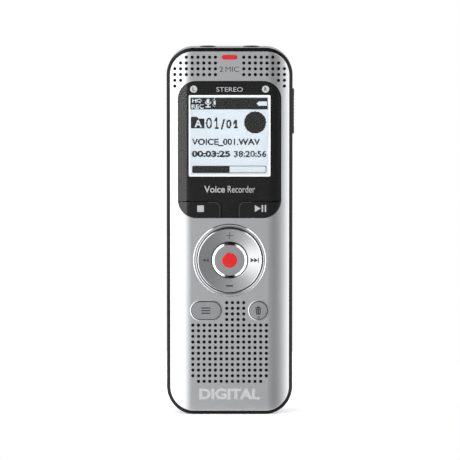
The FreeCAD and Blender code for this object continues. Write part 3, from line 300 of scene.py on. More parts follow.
# Injection-moulded, highly polished ABS: piano black, nearly a mirror.
GLOSS_BLACK = Finish("polished_black_abs", "#050506", "#070708", 0.045, 0.015, 5.0, 3.0, 0.0006, ior=1.52)
# Painted highlight: a lighter strip printed along the keys' rounded inner edge, where light would catch it.
KEY_EDGE_HIGHLIGHT = Finish("painted_key_edge_highlight", "#3B3C3E", "#353638", 0.35, 0.05, 2.0, 0.5, 0.001)
# Cast acrylic with a hard coat, optically clear.
ACRYLIC = Finish("cast_acrylic", "#FFFFFF", "#FBFDFD", 0.012, 0.004, 8.0, 6.0, 0.0001, ior=1.49,
                 transmission=1.0)
# Screen-printed ink on polyester film.
INK_BLACK = Finish("black_ink_film", "#030304", "#040405", 0.55, 0.05, 3.0, 0.2, 0.001, ior=1.15)
ADHESIVE = Finish("foam_tape", "#1A1A1A", "#222222", 0.85, 0.05, 1.0, 0.15, 0.02)
# Tinted acrylic: the lamp is lit from behind by its diode.
RED_LAMP = Finish("red_acrylic_lamp", "#C8191B", "#C01517", 0.2, 0.03, 2.0, 1.0, 0.0005, ior=1.49, glow=0.12)
# The record key's red inlay is no lamp: its faint glow is painted light.
RED_DOT = Finish("red_acrylic_inlay", "#CA1B1B", "#C21717", 0.25, 0.03, 2.0, 1.0, 0.0005, ior=1.49, glow=0.03)
LED_RESIN = Finish("led_epoxy", "#F6D9B0", "#F1CE9C", 0.25, 0.05, 0.8, 0.3, 0.001, transmission=0.3)
# Display glass over a lit reflector: white at its margin. The dots lie inside the glass, so that they
# have no gloss of their own: their index is near that of what covers them.
LCD_WHITE = Finish("lcd_margin", "#FFFFFF", "#FAFCFD", 0.2, 0.03, 8.0, 1.0, 0.0002, glow=0.8)
LCD_PALE = Finish("lcd_background", "#DDE6EE", "#D8E2EA", 0.2, 0.03, 8.0, 1.0, 0.0002, ior=1.1, glow=0.42)
LCD_DARK = Finish("lcd_pixels_on", "#050606", "#040505", 0.4, 0.03, 4.0, 1.0, 0.0002, ior=1.05, glow=0.4,
                  glow_colour="#171C1E")
BACKLIGHT = Finish("white_polycarbonate", "#F1F3F2", "#E7EAE9", 0.45, 0.05, 3.0, 0.5, 0.002)
FLEX = Finish("polyimide_flex", "#B5701F", "#A76518", 0.35, 0.05, 2.0, 0.3, 0.002, coat=0.3)
BOARD = Finish("solder_mask_green", "#0E5A34", "#0B4D2C", 0.35, 0.08, 2.5, 0.5, 0.006, coat=0.4)
PAD_GOLD = Finish("gold_flash", "#E3B968", "#D9AD5A", 0.25, 0.05, 0.6, 0.2, 0.001, metallic=1.0)
TIN = Finish("tinned_leads", "#C6C8CA", "#B4B7BA", 0.30, 0.08, 0.5, 0.2, 0.002, metallic=1.0)
CHIP = Finish("moulded_epoxy", "#17181A", "#1E1F21", 0.6, 0.06, 1.0, 0.12, 0.006)
SILICONE = Finish("silicone_rubber", "#3A3B3D", "#333436", 0.6, 0.06, 3.0, 0.5, 0.006)
FOAM = Finish("open_cell_foam", "#2A2A2C", "#1C1C1E", 0.9, 0.05, 0.5, 0.25, 0.06, sheen=0.3)
CLOTH = Woven("dust_cloth", "#0C0C0D", "#070708", 0.9, 0.05, 0.8, 0.3, 0.05)
PAPER = Finish("pulp_paper_cone", "#2B2A28", "#242321", 0.8, 0.05, 1.2, 0.3, 0.02)
# Cold-rolled steel, nickel plated.
STEEL = Finish("nickel_plated_steel", "#BDBFC2", "#A9ACB0", 0.28, 0.08, 1.2, 0.2, 0.002, metallic=1.0)
SCREW_STEEL = Finish("black_oxide_steel", "#3C3D40", "#2E2F32", 0.35, 0.08, 0.8, 0.15, 0.003, metallic=1.0)
MAGNET = Finish("zinc_plated_magnet", "#9EA1A6", "#8D9096", 0.35, 0.08, 1.5, 0.3, 0.002, metallic=1.0)
# Printed foil shrunk round the cell, copper-coloured at its upper end.
CELL = Banded("cell_wrap", "#15171B", "#101215", 0.28, 0.05, 3.0, 0.5, 0.001, coat=0.5)
# Painted shade: the walls of the sheet's openings, away from its outline, are made dark to stand in for the
# shade in the holes and in the gaps round the keys, the window and the bezel.
OPENING_SHADE = Finish("painted_opening_shade", "#101011", "#0C0C0D", 0.7, 0.05, 0.5, 0.1, 0.004, metallic=0.2)
# Painted shade: the sides of a lacquered key are made dark, to stand in for the shade in the gap round it.
KEY_GAP_SHADE = Finish("painted_key_gap_shade", "#232426", "#1E1F21", 0.6, 0.05, 3.0, 0.5, 0.004)
# Pad-printed ink, a few hundredths thick.
INK_GREY = Finish("grey_ink", "#3E4042", "#3A3C3E", 0.5, 0.05, 1.0, 0.2, 0.001)
INK_DARK = Finish("dark_ink", "#141516", "#18191A", 0.5, 0.05, 1.0, 0.2, 0.001)
INK_FAINT = Finish("faint_ink", "#303234", "#343638", 0.5, 0.05, 1.0, 0.2, 0.001)
INK_PALE = Finish("pale_ink", "#B3B4B5", "#AEAFB0", 0.5, 0.05, 1.0, 0.2, 0.001)
# Ink behind the window, with painted light: it glows though no lamp lights it, so that it reads bright
# through the window.
GLOWING_WINDOW_INK = Finish("window_print", "#A5A6A8", "#9FA0A2", 0.6, 0.05, 1.0, 0.2, 0.001, glow=0.75)
GLOWING_BADGE_INK = Finish("window_badge", "#C4C5C6", "#BFC0C1", 0.6, 0.05, 1.0, 0.2, 0.001, glow=0.45)
INK_KEY = Finish("key_print", "#A9AAAC", "#A4A5A7", 0.5, 0.05, 1.0, 0.2, 0.001)
# Matt wall paint on a table's board, rolled on.
FLOOR_PAINT = Finish("matt_white_paint", "#F7F7F7", "#F4F4F4", 0.9, 0.02, 120.0, 20.0, 0.01, glow=0.4)


# ---- Meshes ---------------------------------------------------------------------------------------
def new_piece(name: str, mesh: bpy.types.Mesh, finish: Finish | None, body: str) -> bpy.types.Object:
    """Puts a mesh in the scene as a piece of the recorder.

    Args:
        name: the piece's name.
        mesh: its mesh, in metres and in place.
        finish: its finish, or None to keep the mesh's materials.
        body: the CAD body that it rides on.

    Returns:
        The new object.
    """
    mesh.name = name
    if finish is not None:
        mesh.materials.clear()
        mesh.materials.append(finish.build())
    piece = bpy.data.objects.new(name, mesh)
    bpy.context.scene.collection.objects.link(piece)
    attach(piece, body)
    LOG.info("%s: %d faces on %s", name, len(mesh.polygons), body)
    return piece


def finished(work: bmesh.types.BMesh, name: str) -> bpy.types.Mesh:
    """Turns a bmesh to a new mesh and frees it.

    Args:
        work: the bmesh.
        name: the mesh's name.

    Returns:
        The mesh.
    """
    mesh = bpy.data.meshes.new(name)
    work.to_mesh(mesh)
    work.free()
    return mesh


def flat_mesh(curve: bpy.types.Curve) -> bpy.types.Mesh:
    """Turns a filled curve or text to a mesh and deletes the curve.

    Args:
        curve: the curve or text data.

    Returns:
        Its mesh, with doubles merged.
    """
    holder = bpy.data.objects.new("holder", curve)
    bpy.context.scene.collection.objects.link(holder)
    graph = bpy.context.evaluated_depsgraph_get()
    mesh = bpy.data.meshes.new_from_object(holder.evaluated_get(graph))
    bpy.data.objects.remove(holder)
    bpy.data.curves.remove(curve)
    work = bmesh.new()
    work.from_mesh(mesh)
    bmesh.ops.remove_doubles(work, verts=work.verts, dist=PLATE_WELD)
    bmesh.ops.triangulate(work, faces=work.faces)
    bmesh.ops.recalc_face_normals(work, faces=work.faces)
    work.to_mesh(mesh)
    work.free()
    return mesh


def outline_mesh(loops: Sequence[Loop], thickness: float = 0.0) -> bpy.types.Mesh:
    """Fills closed loops, a loop inside another being a hole.

    Args:
        loops: corners of each loop.
        thickness: 0 for a flat face, or the thickness of a closed plate.

    Returns:
        A mesh in its own X and Y, in the loops' unit.
    """
    curve = bpy.data.curves.new("outline", "CURVE")
    curve.dimensions, curve.fill_mode, curve.extrude = "2D", "BOTH", thickness / 2
    for loop in loops:
        spline = curve.splines.new("POLY")
        spline.points.add(len(loop) - 1)
        for point, (x, y) in zip(spline.points, loop):
            point.co = (x, y, 0.0, 1.0)
        spline.use_cyclic_u = True
    return flat_mesh(curve)


def text_mesh(text: str, box: Box, thickness: float = 0.0, weight: float = 0.0) -> bpy.types.Mesh:
    """Sets a line of text so that its ink fills a box.

    Args:
        text: the characters.
        box: left, right, bottom and top of the ink.
        thickness: 0 for a flat face, or the thickness of closed letters.
        weight: how much bolder than the plain font.

    Returns:
        A mesh in its own X and Y, in the box's unit.
    """
    curve = bpy.data.curves.new("text", "FONT")
    curve.body, curve.size, curve.offset = text, 1.0, weight
    curve.extrude, curve.resolution_u = (0.5 if thickness else 0.0), TEXT_STEPS
    mesh = flat_mesh(curve)
    left, right, bottom, top = box
    xs, ys = [v.co.x for v in mesh.vertices], [v.co.y for v in mesh.vertices]
    wide, high = max(xs) - min(xs), max(ys) - min(ys)
    for vertex in mesh.vertices:
        vertex.co.x = left + (vertex.co.x - min(xs)) / wide * (right - left)
        vertex.co.y = bottom + (vertex.co.y - min(ys)) / high * (top - bottom)
        vertex.co.z *= thickness
    return mesh


def circle(x: float, z: float, radius: float, count: int = 40) -> list[tuple[float, float]]:
    """Gives the corners of a circle."""
    turns = [math.tau * i / count for i in range(count)]
    return [(x + radius * math.cos(a), z + radius * math.sin(a)) for a in turns]


def arc(x: float, z: float, radius: float, start_deg: float, end_deg: float,
        steps: int) -> list[tuple[float, float]]:
    """Gives the corners of an arc, both of its ends among them."""
    turns = [math.radians(start_deg + (end_deg - start_deg) * step / steps) for step in range(steps + 1)]
    return [(x + radius * math.cos(a), z + radius * math.sin(a)) for a in turns]


def rectangle(box: Box, radius: float = 0.0, steps: int = 5) -> list[tuple[float, float]]:
    """Gives the corners of a rectangle.

    Args:
        box: its edges.
        radius: its corners' radius, or 0 for square ones.
        steps: how many sides a round corner has.

    Returns:
        The corners, against the clock.
    """
    x0, x1, z0, z1 = box
    if not radius:
        return [(x0, z0), (x1, z0), (x1, z1), (x0, z1)]
    corners = []
    for x, z, start in ((x1 - radius, z0 + radius, -90), (x1 - radius, z1 - radius, 0),
                        (x0 + radius, z1 - radius, 90), (x0 + radius, z0 + radius, 180)):
        corners += arc(x, z, radius, start, start + 90, steps)
    return corners


def shifted(loop: Loop, x: float, z: float) -> list[tuple[float, float]]:
    """Gives a loop moved across and up."""
    return [(x + across, z + up) for across, up in loop]


def lay_on(meshes: Sequence[bpy.types.Mesh], surface: Surface, layer: tuple[float, float],
           facing: int = -1) -> bpy.types.Mesh:
    """Stands flat plates up and lays them on a surface as thin closed prints.

    Args:
        meshes: plates in their own X and Y in millimetres, with a thickness along Z.
        surface: gives the surface's y in millimetres at x and z.
        layer: how far the print stands out of the surface and how far it reaches into it.
        facing: -1 for a surface that faces the front, 1 for the back.

    Returns:
        One mesh in metres, in place.
    """
    work = bmesh.new()
    for mesh in meshes:
        work.from_mesh(mesh)
        bpy.data.meshes.remove(mesh)
    for vertex in work.verts:
        x, z, up = vertex.co.x, vertex.co.y, vertex.co.z
        away = layer[0] if up > 0 else -layer[1]
        vertex.co = Vector((x, surface(x, z) + facing * away, z)) * MM
    bmesh.ops.recalc_face_normals(work, faces=work.faces)
    return finished(work, "print")


def bevel_mesh(inner: Loop, outer: Loop, base_y: float, rise: float, sink: float = 0.02) -> bpy.types.Mesh:
    """Makes a ring with a triangular section that slopes from its inner edge down to its outer edge.

    Args:
        inner: corners of the inner edge, in millimetres.
        outer: as many corners of the outer edge.
        base_y: the surface it stands on; it rises toward -Y.
        rise: how far the inner edge stands out.
        sink: how far the ring's foot reaches into the surface.

    Returns:
        The closed ring, in metres and in place.
    """
    work = bmesh.new()
    section = ((inner, base_y + sink), (inner, base_y - rise), (outer, base_y), (outer, base_y + sink))
    rings = [[work.verts.new(Vector((x, y, z)) * MM) for x, z in loop] for loop, y in section]
    count = len(inner)
    for near, far in zip(rings, rings[1:] + rings[:1]):
        for i in range(count):
            j = (i + 1) % count
            work.faces.new((near[i], near[j], far[j], far[i]))
    bmesh.ops.recalc_face_normals(work, faces=work.faces)
    return finished(work, "bevel")


def joined(meshes: Sequence[bpy.types.Mesh]) -> bpy.types.Mesh:
    """Joins meshes that are already in place.

    Args:
        meshes: the meshes, which are used up.

    Returns:
        One mesh.
    """
    work = bmesh.new()
    for mesh in meshes:
        work.from_mesh(mesh)
        bpy.data.meshes.remove(mesh)
    return finished(work, "joined")


def level(y: float) -> Surface:
    """Gives a flat surface at one y."""
    return lambda x, z: y


# ---- Geometry trees -------------------------------------------------------------------------------
@dataclass(frozen=True)
class PointTree:
    """A Geometry Nodes tree that sets a small solid on every point of a mesh."""

    name: str = ""
    sizes: tuple[str, ...] = ()

    def solid(self, tree: bpy.types.NodeTree, given: bpy.types.NodeOutputs) -> bpy.types.NodeSocket:
        """Makes the solid that stands on each point.

        Args:
            tree: the tree that gets its nodes.
            given: the tree's inputs.

        Returns:
            The solid's geometry.
        """
        raise NotImplementedError

    def build(self) -> bpy.types.NodeTree:
        """Makes the tree, or finds the one already made.

        Returns:
            The tree, with an input for each of its sizes and one named Material.
        """
        found = bpy.data.node_groups.get(self.name)
        if found:
            return found
        tree = bpy.data.node_groups.new(self.name, "GeometryNodeTree")
        tree.interface.new_socket("Geometry", in_out="INPUT", socket_type="NodeSocketGeometry")
        for size in self.sizes:
            tree.interface.new_socket(size, in_out="INPUT", socket_type="NodeSocketFloat")
        tree.interface.new_socket("Material", in_out="INPUT", socket_type="NodeSocketMaterial")
        tree.interface.new_socket("Geometry", in_out="OUTPUT", socket_type="NodeSocketGeometry")
        given = add_node(tree, "NodeGroupInput").outputs
        placed = add_node(tree, "GeometryNodeInstanceOnPoints",
                          links={"Points": given["Geometry"], "Instance": self.solid(tree, given)})
        real = add_node(tree, "GeometryNodeRealizeInstances", links={"Geometry": placed.outputs[0]})
        dressed = add_node(tree, "GeometryNodeSetMaterial",
                           links={"Geometry": real.outputs[0], "Material": given["Material"]})
        add_node(tree, "NodeGroupOutput", links={0: dressed.outputs[0]})
        return tree


@dataclass(frozen=True)
class BlockTree(PointTree):
    """Sets one block on every point."""

    name: str = "blocks_on_points"
    sizes: tuple[str, ...] = ("Width", "Depth", "Height")

    def solid(self, tree: bpy.types.NodeTree, given: bpy.types.NodeOutputs) -> bpy.types.NodeSocket:
        """Makes the block, with its middle on the point.

        Args:
            tree: the tree that gets its nodes.
            given: the tree's inputs.

        Returns:
            The block's geometry.
        """
        links = {"X": given["Width"], "Y": given["Depth"], "Z": given["Height"]}
        size = add_node(tree, "ShaderNodeCombineXYZ", links=links)
        return add_node(tree, "GeometryNodeMeshCube", links={"Size": size.outputs[0]}).outputs["Mesh"]


@dataclass(frozen=True)
class LeadTree(PointTree):
    """Sets a bent lead on every point: shoulder, leg and foot."""

    name: str = "gull_wing_leads"
    sizes: tuple[str, ...] = ("Width", "Thickness", "Reach", "Drop")

    def solid(self, tree: bpy.types.NodeTree, given: bpy.types.NodeOutputs) -> bpy.types.NodeSocket:
        """Makes the lead out of three blocks.

        Args:
            tree: the tree that gets its nodes.
            given: the tree's inputs.

        Returns:
            The lead's geometry. Its shoulder starts at the point and runs along +X for a positive Reach,
            its leg drops along -Y, and its foot runs on outwards.
        """
        half, far, middle, down = (
            add_node(tree, "ShaderNodeMath", {1: share}, {0: given[size]}, operation="MULTIPLY").outputs[0]
            for size, share in (("Reach", 0.5), ("Reach", 1.5), ("Drop", -0.5), ("Drop", -1.0)))
        length = add_node(tree, "ShaderNodeMath", links={0: given["Reach"]}, operation="ABSOLUTE").outputs[0]
        shoulder = {"X": length, "Y": given["Thickness"]}, {"X": half}
        leg = {"X": given["Thickness"], "Y": given["Drop"]}, {"X": given["Reach"], "Y": middle}
        foot = {"X": length, "Y": given["Thickness"]}, {"X": far, "Y": down}
        lead = add_node(tree, "GeometryNodeJoinGeometry")
        for size, place in (shoulder, leg, foot):
            sides = add_node(tree, "ShaderNodeCombineXYZ", links={**size, "Z": given["Width"]})
            cube = add_node(tree, "GeometryNodeMeshCube", links={"Size": sides.outputs[0]})
            spot = add_node(tree, "ShaderNodeCombineXYZ", links=place)
            moved = add_node(tree, "GeometryNodeTransform",
                             links={"Geometry": cube.outputs["Mesh"], "Translation": spot.outputs[0]})
            tree.links.new(moved.outputs[0], lead.inputs[0])
        return lead.outputs[0]


def grown(tree: bpy.types.NodeTree, points: Sequence[Vector], inputs: dict[str, float],
          finish: Finish) -> bpy.types.Mesh:
    """Runs a tree on a cloud of points and takes the plain mesh.

    Args:
        tree: a tree with a Material input.
        points: where the tree sets its solids, in metres.
        inputs: the tree's sizes by name, in metres.
        finish: what the solids are made of.

    Returns:
        The mesh, in place.
    """
    cloud = bpy.data.meshes.new("cloud")
    cloud.from_pydata([tuple(p) for p in points], [], [])
    holder = bpy.data.objects.new("holder", cloud)
    bpy.context.scene.collection.objects.link(holder)
    modifier = holder.modifiers.new("grow", "NODES")
    modifier.node_group = tree
    given = {**inputs, "Material": finish.build()}
    for socket in tree.interface.items_tree:
        if socket.item_type == "SOCKET" and socket.in_out == "INPUT" and socket.name in given:
            modifier[socket.identifier] = given[socket.name]
    graph = bpy.context.evaluated_depsgraph_get()
    mesh = bpy.data.meshes.new_from_object(holder.evaluated_get(graph))
    holder.modifiers.remove(modifier)
    bpy.data.objects.remove(holder)
    bpy.data.meshes.remove(cloud)
    return mesh


# ---- Nodes, marks and prints ----------------------------------------------------------------------
@dataclass(frozen=True)
class Shell:
    """A CAD node that is shown as a smooth-shaded copy of itself."""

    node: str
    name: str
    finish: Finish
    crease_deg: float = 30.0
    # Painted shade for the faces that run away from the front, and how steep and how far in they must be to
    # get it.
    painted_side_shade: Finish | None = None
    side_steepness: float = 0.4
    side_inset_mm: float = 1.2

    def paint_side_shade(self, mesh: bpy.types.Mesh) -> None:
        """Paints shade on the faces that run away from the front: they get a dark finish that stands in for
        the shade in gaps and holes.

        Args:
            mesh: the copy's mesh; faces nearer to its outline than the inset keep the first finish.
        """
        mesh.materials.append(self.painted_side_shade.build())
        low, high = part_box(self.node)
        margin = self.side_inset_mm * MM
        for polygon in mesh.polygons:
            inside = all(low[axis] + margin < polygon.center[axis] < high[axis] - margin for axis in (0, 2))
            if inside and abs(polygon.normal.y) < self.side_steepness:
                polygon.material_index = 1

    def build(self) -> bpy.types.Object:
        """Copies the node's mesh, merges it and shades it.

        Returns:
            The piece, which replaces the node.
        """
        source = frame["nodes"][self.node]
        work = bmesh.new()
        work.from_mesh(source.data)
        bmesh.ops.remove_doubles(work, verts=work.verts, dist=WELD)
        crease = math.radians(self.crease_deg)
        for face in work.faces:
            face.smooth = True
        for edge in work.edges:
            edge.smooth = len(edge.link_faces) == 2 and edge.calc_face_angle(0.0) < crease
        mesh = finished(work, self.name)
        dress({self.node: self.finish})
        piece = new_piece(self.name, mesh, self.finish, source["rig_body"])
        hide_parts(self.node)
        if self.painted_side_shade:
            self.paint_side_shade(mesh)
        piece.modifiers.new("even_shading", "WEIGHTED_NORMAL").keep_sharp = True
        return piece


def dress(finishes: dict[str, Finish]) -> None:
    """Gives CAD nodes their finishes.

    Args:
        finishes: each node's name and its finish.
    """
    for node, finish in finishes.items():
        materials = frame["nodes"][node].data.materials
        materials.clear()
        materials.append(finish.build())


class Marks(Enum):
    """What a mark's plate is made from."""

    TEXT = "text"
    SHAPE = "shape"


@dataclass(frozen=True)
class Mark:
    """One printed mark: a line of text in a box, or loops."""

    kind: Marks
    loops: Sequence[Loop] = ()
    text: str = ""
    box: Box = (0.0, 0.0, 0.0, 0.0)
    weight: float = 0.0

    def mesh(self, thickness: float = 1.0) -> bpy.types.Mesh:
        """Makes the mark's plate.

        Args:
            thickness: how thick it is, or 0 for a flat face.

        Returns:
            The plate, in millimetres in its own X and Y.
        """
        if self.kind is Marks.TEXT:
            return text_mesh(self.text, self.box, thickness, self.weight)
        return outline_mesh(self.loops, thickness)


def word(text: str, box: Box, weight: float = 0.0) -> Mark:
    """Gives a text mark whose ink fills a box."""
    return Mark(Marks.TEXT, text=text, box=box, weight=weight)


def shape(*loops: Loop) -> Mark:
    """Gives a filled mark with the given loops."""
    return Mark(Marks.SHAPE, loops=loops)


def wedge(base_x: float, tip_x: float, z: float, half: float) -> Mark:
    """Gives a triangle that points across, with its base upright."""
    return shape([(base_x, z - half), (tip_x, z), (base_x, z + half)])


@dataclass(frozen=True)
class Print:
    """A group of marks in one ink on one surface."""

    name: str
    finish: Finish
    surface: Surface
    marks: Sequence[Mark]
    body: str = "case"
    slot: str = "printed_film"
    layer: tuple[float, float] = (0.012, 0.01)  # how far it stands out, and how far it reaches in
    facing: int = -1

    def build(self) -> bpy.types.Object:
        """Makes the print and gives it back as a piece."""
        mesh = lay_on([mark.mesh() for mark in self.marks], self.surface, self.layer, self.facing)
        return new_piece(self.name, mesh, self.finish, self.body)


# ---- Sub-assemblies -------------------------------------------------------------------------------
@dataclass
class Case:
    """Metal skin, the two black housings, their screws and the skin's print."""

    skin_y: float = -9.0
    count_box: Box = (-3.0, -1.85, 100.95, 102.5)
    microphone_box: Box = (-1.2, 2.76, 100.95, 102.5)
    kind_box: Box = (-8.95, 8.95, 4.35, 7.65)
    kind_weight: float = 0.045

    def build(self) -> None:
        """Makes and dresses the case."""
        # The walls of the skin's openings get painted shade.
        Shell("front_cover", "skin", SKIN, painted_side_shade=OPENING_SHADE).build()
        Shell("front_housing", "front_tub", RIM).build()
        Shell("rear_housing", "rear_tub", HOUSING).build()
        Shell("housing_screws", "screws", SCREW_STEEL).build()
        Shell("led_light_pipe", "indicator_lamp", RED_LAMP).build()
        dress({"record_led": LED_RESIN})
        Print("microphone_print", INK_GREY, level(self.skin_y),
              [word("2", self.count_box), word("MIC", self.microphone_box)]).build()
        Print("kind_print", INK_PALE, level(self.skin_y),
              [word("DIGITAL", self.kind_box, self.kind_weight)]).build()


@dataclass
class Window:
    """Clear window with its printed film, and the two keys in its lower corners."""

    bond_mm: float = 0.004  # how deep the window's back lies in its print, which is bonded to it
    back_y: float = -7.9
    stereo_box: Box = (-3.88, 3.85, 95.1, 96.45)
    voice_box: Box = (-7.45, -1.35, 65.45, 67.45)
    voice_weight: float = 0.015
    recorder_box: Box = (-0.55, 7.47, 65.45, 67.45)
    words_layer: tuple[float, float] = (0.03, -0.01)
    badge_r: float = 1.05
    badge_x: float = 10.53
    badge_z: float = 95.87
    badges_layer: tuple[float, float] = (0.02, -0.01)
    letter_box: Box = (-0.33, 0.37, -0.55, 0.55)  # about the badge's middle
    letter_weight: float = 0.02
    letters_layer: tuple[float, float] = (0.04, -0.025)
    key_y: float = -9.1
    stop_box: Box = (-9.5, -7.55, 59.85, 61.75)
    play_x: float = 7.4
    play_tip_x: float = 9.15
    play_z: float = 60.85
    play_half: float = 1.0
    pause_xs: tuple[float, float] = (9.4, 10.3)
    pause_width: float = 0.45
    edge_x: float = 2.78
    edge_foot_z: float = 58.4
    edge_top_z: float = 62.68
    edge_r: float = 1.7
    edge_width: float = 0.13
    edge_end_x: float = 6.4
    edge_layer: tuple[float, float] = (0.02, 0.01)

    def edge(self, side: int) -> Mark:
        """Makes the painted highlight along a lower key's inner corner: a lighter strip printed on the key.

        Args:
            side: -1 for the key on the left, 1 for the one on the right.

        Returns:
            The strip: up the key's inner side, round its corner and along its top.
        """
        x, z = self.edge_x + self.edge_r, self.edge_top_z - self.edge_r
        outer = arc(x, z, self.edge_r, 180, 90, 8)
        inner = arc(x, z, self.edge_r - self.edge_width, 90, 180, 8)
        loop = [(self.edge_x, self.edge_foot_z), *outer, (self.edge_end_x, self.edge_top_z),
                (self.edge_end_x, self.edge_top_z - self.edge_width), *inner,
                (self.edge_x + self.edge_width, self.edge_foot_z)]
        return shape([(side * across, up) for across, up in loop])

    def film(self) -> None:
        """Prints the film behind the window."""
        badges, letters = [], []
        left, right, bottom, top = self.letter_box
        for side, letter in ((-1, "L"), (1, "R")):
            x, z = side * self.badge_x, self.badge_z
            badges.append(shape(circle(x, z, self.badge_r)))
            letters.append(word(letter, (x + left, x + right, z + bottom, z + top), self.letter_weight))
        words = [word("STEREO", self.stereo_box), word("Voice", self.voice_box, self.voice_weight),
                 word("Recorder", self.recorder_box)]
        # The words and the badges glow: painted light, as no lamp lights them.
        for name, ink, marks, layer in (("window_words", GLOWING_WINDOW_INK, words, self.words_layer),
                                        ("window_badges", GLOWING_BADGE_INK, badges, self.badges_layer),
                                        ("badge_letters", INK_FAINT, letters, self.letters_layer)):
            Print(name, ink, level(self.back_y), marks, layer=layer).build()

    def build(self) -> None:
        """Makes and dresses the window and its keys."""
        window = Shell("window_lens", "window", ACRYLIC).build()
        window.data.transform(Matrix.Translation((0.0, self.bond_mm * MM, 0.0)))
        dress({"window_mask": INK_BLACK, "window_adhesive": ADHESIVE})
        Shell("stop_key", "stop_cap", GLOSS_BLACK).build()
        Shell("play_key", "play_cap", GLOSS_BLACK).build()
        self.film()
        face = level(self.key_y)
        # Each key gets a painted highlight along its inner edge.
        for side, name in ((-1, "stop"), (1, "play")):
            Print(f"{name}_edge", KEY_EDGE_HIGHLIGHT, face, [self.edge(side)], f"{name}_button",
                  SLOT_OF_NODE["stop_key"], self.edge_layer).build()
        Print("stop_icon", INK_KEY, face, [shape(rectangle(self.stop_box))], "stop_button").build()
        low, high = self.play_z - self.play_half, self.play_z + self.play_half
        bars = [shape(rectangle((x, x + self.pause_width, low, high))) for x in self.pause_xs]
        play = wedge(self.play_x, self.play_tip_x, self.play_z, self.play_half)
        Print("play_icon", INK_KEY, face, [play, *bars], "play_button").build()


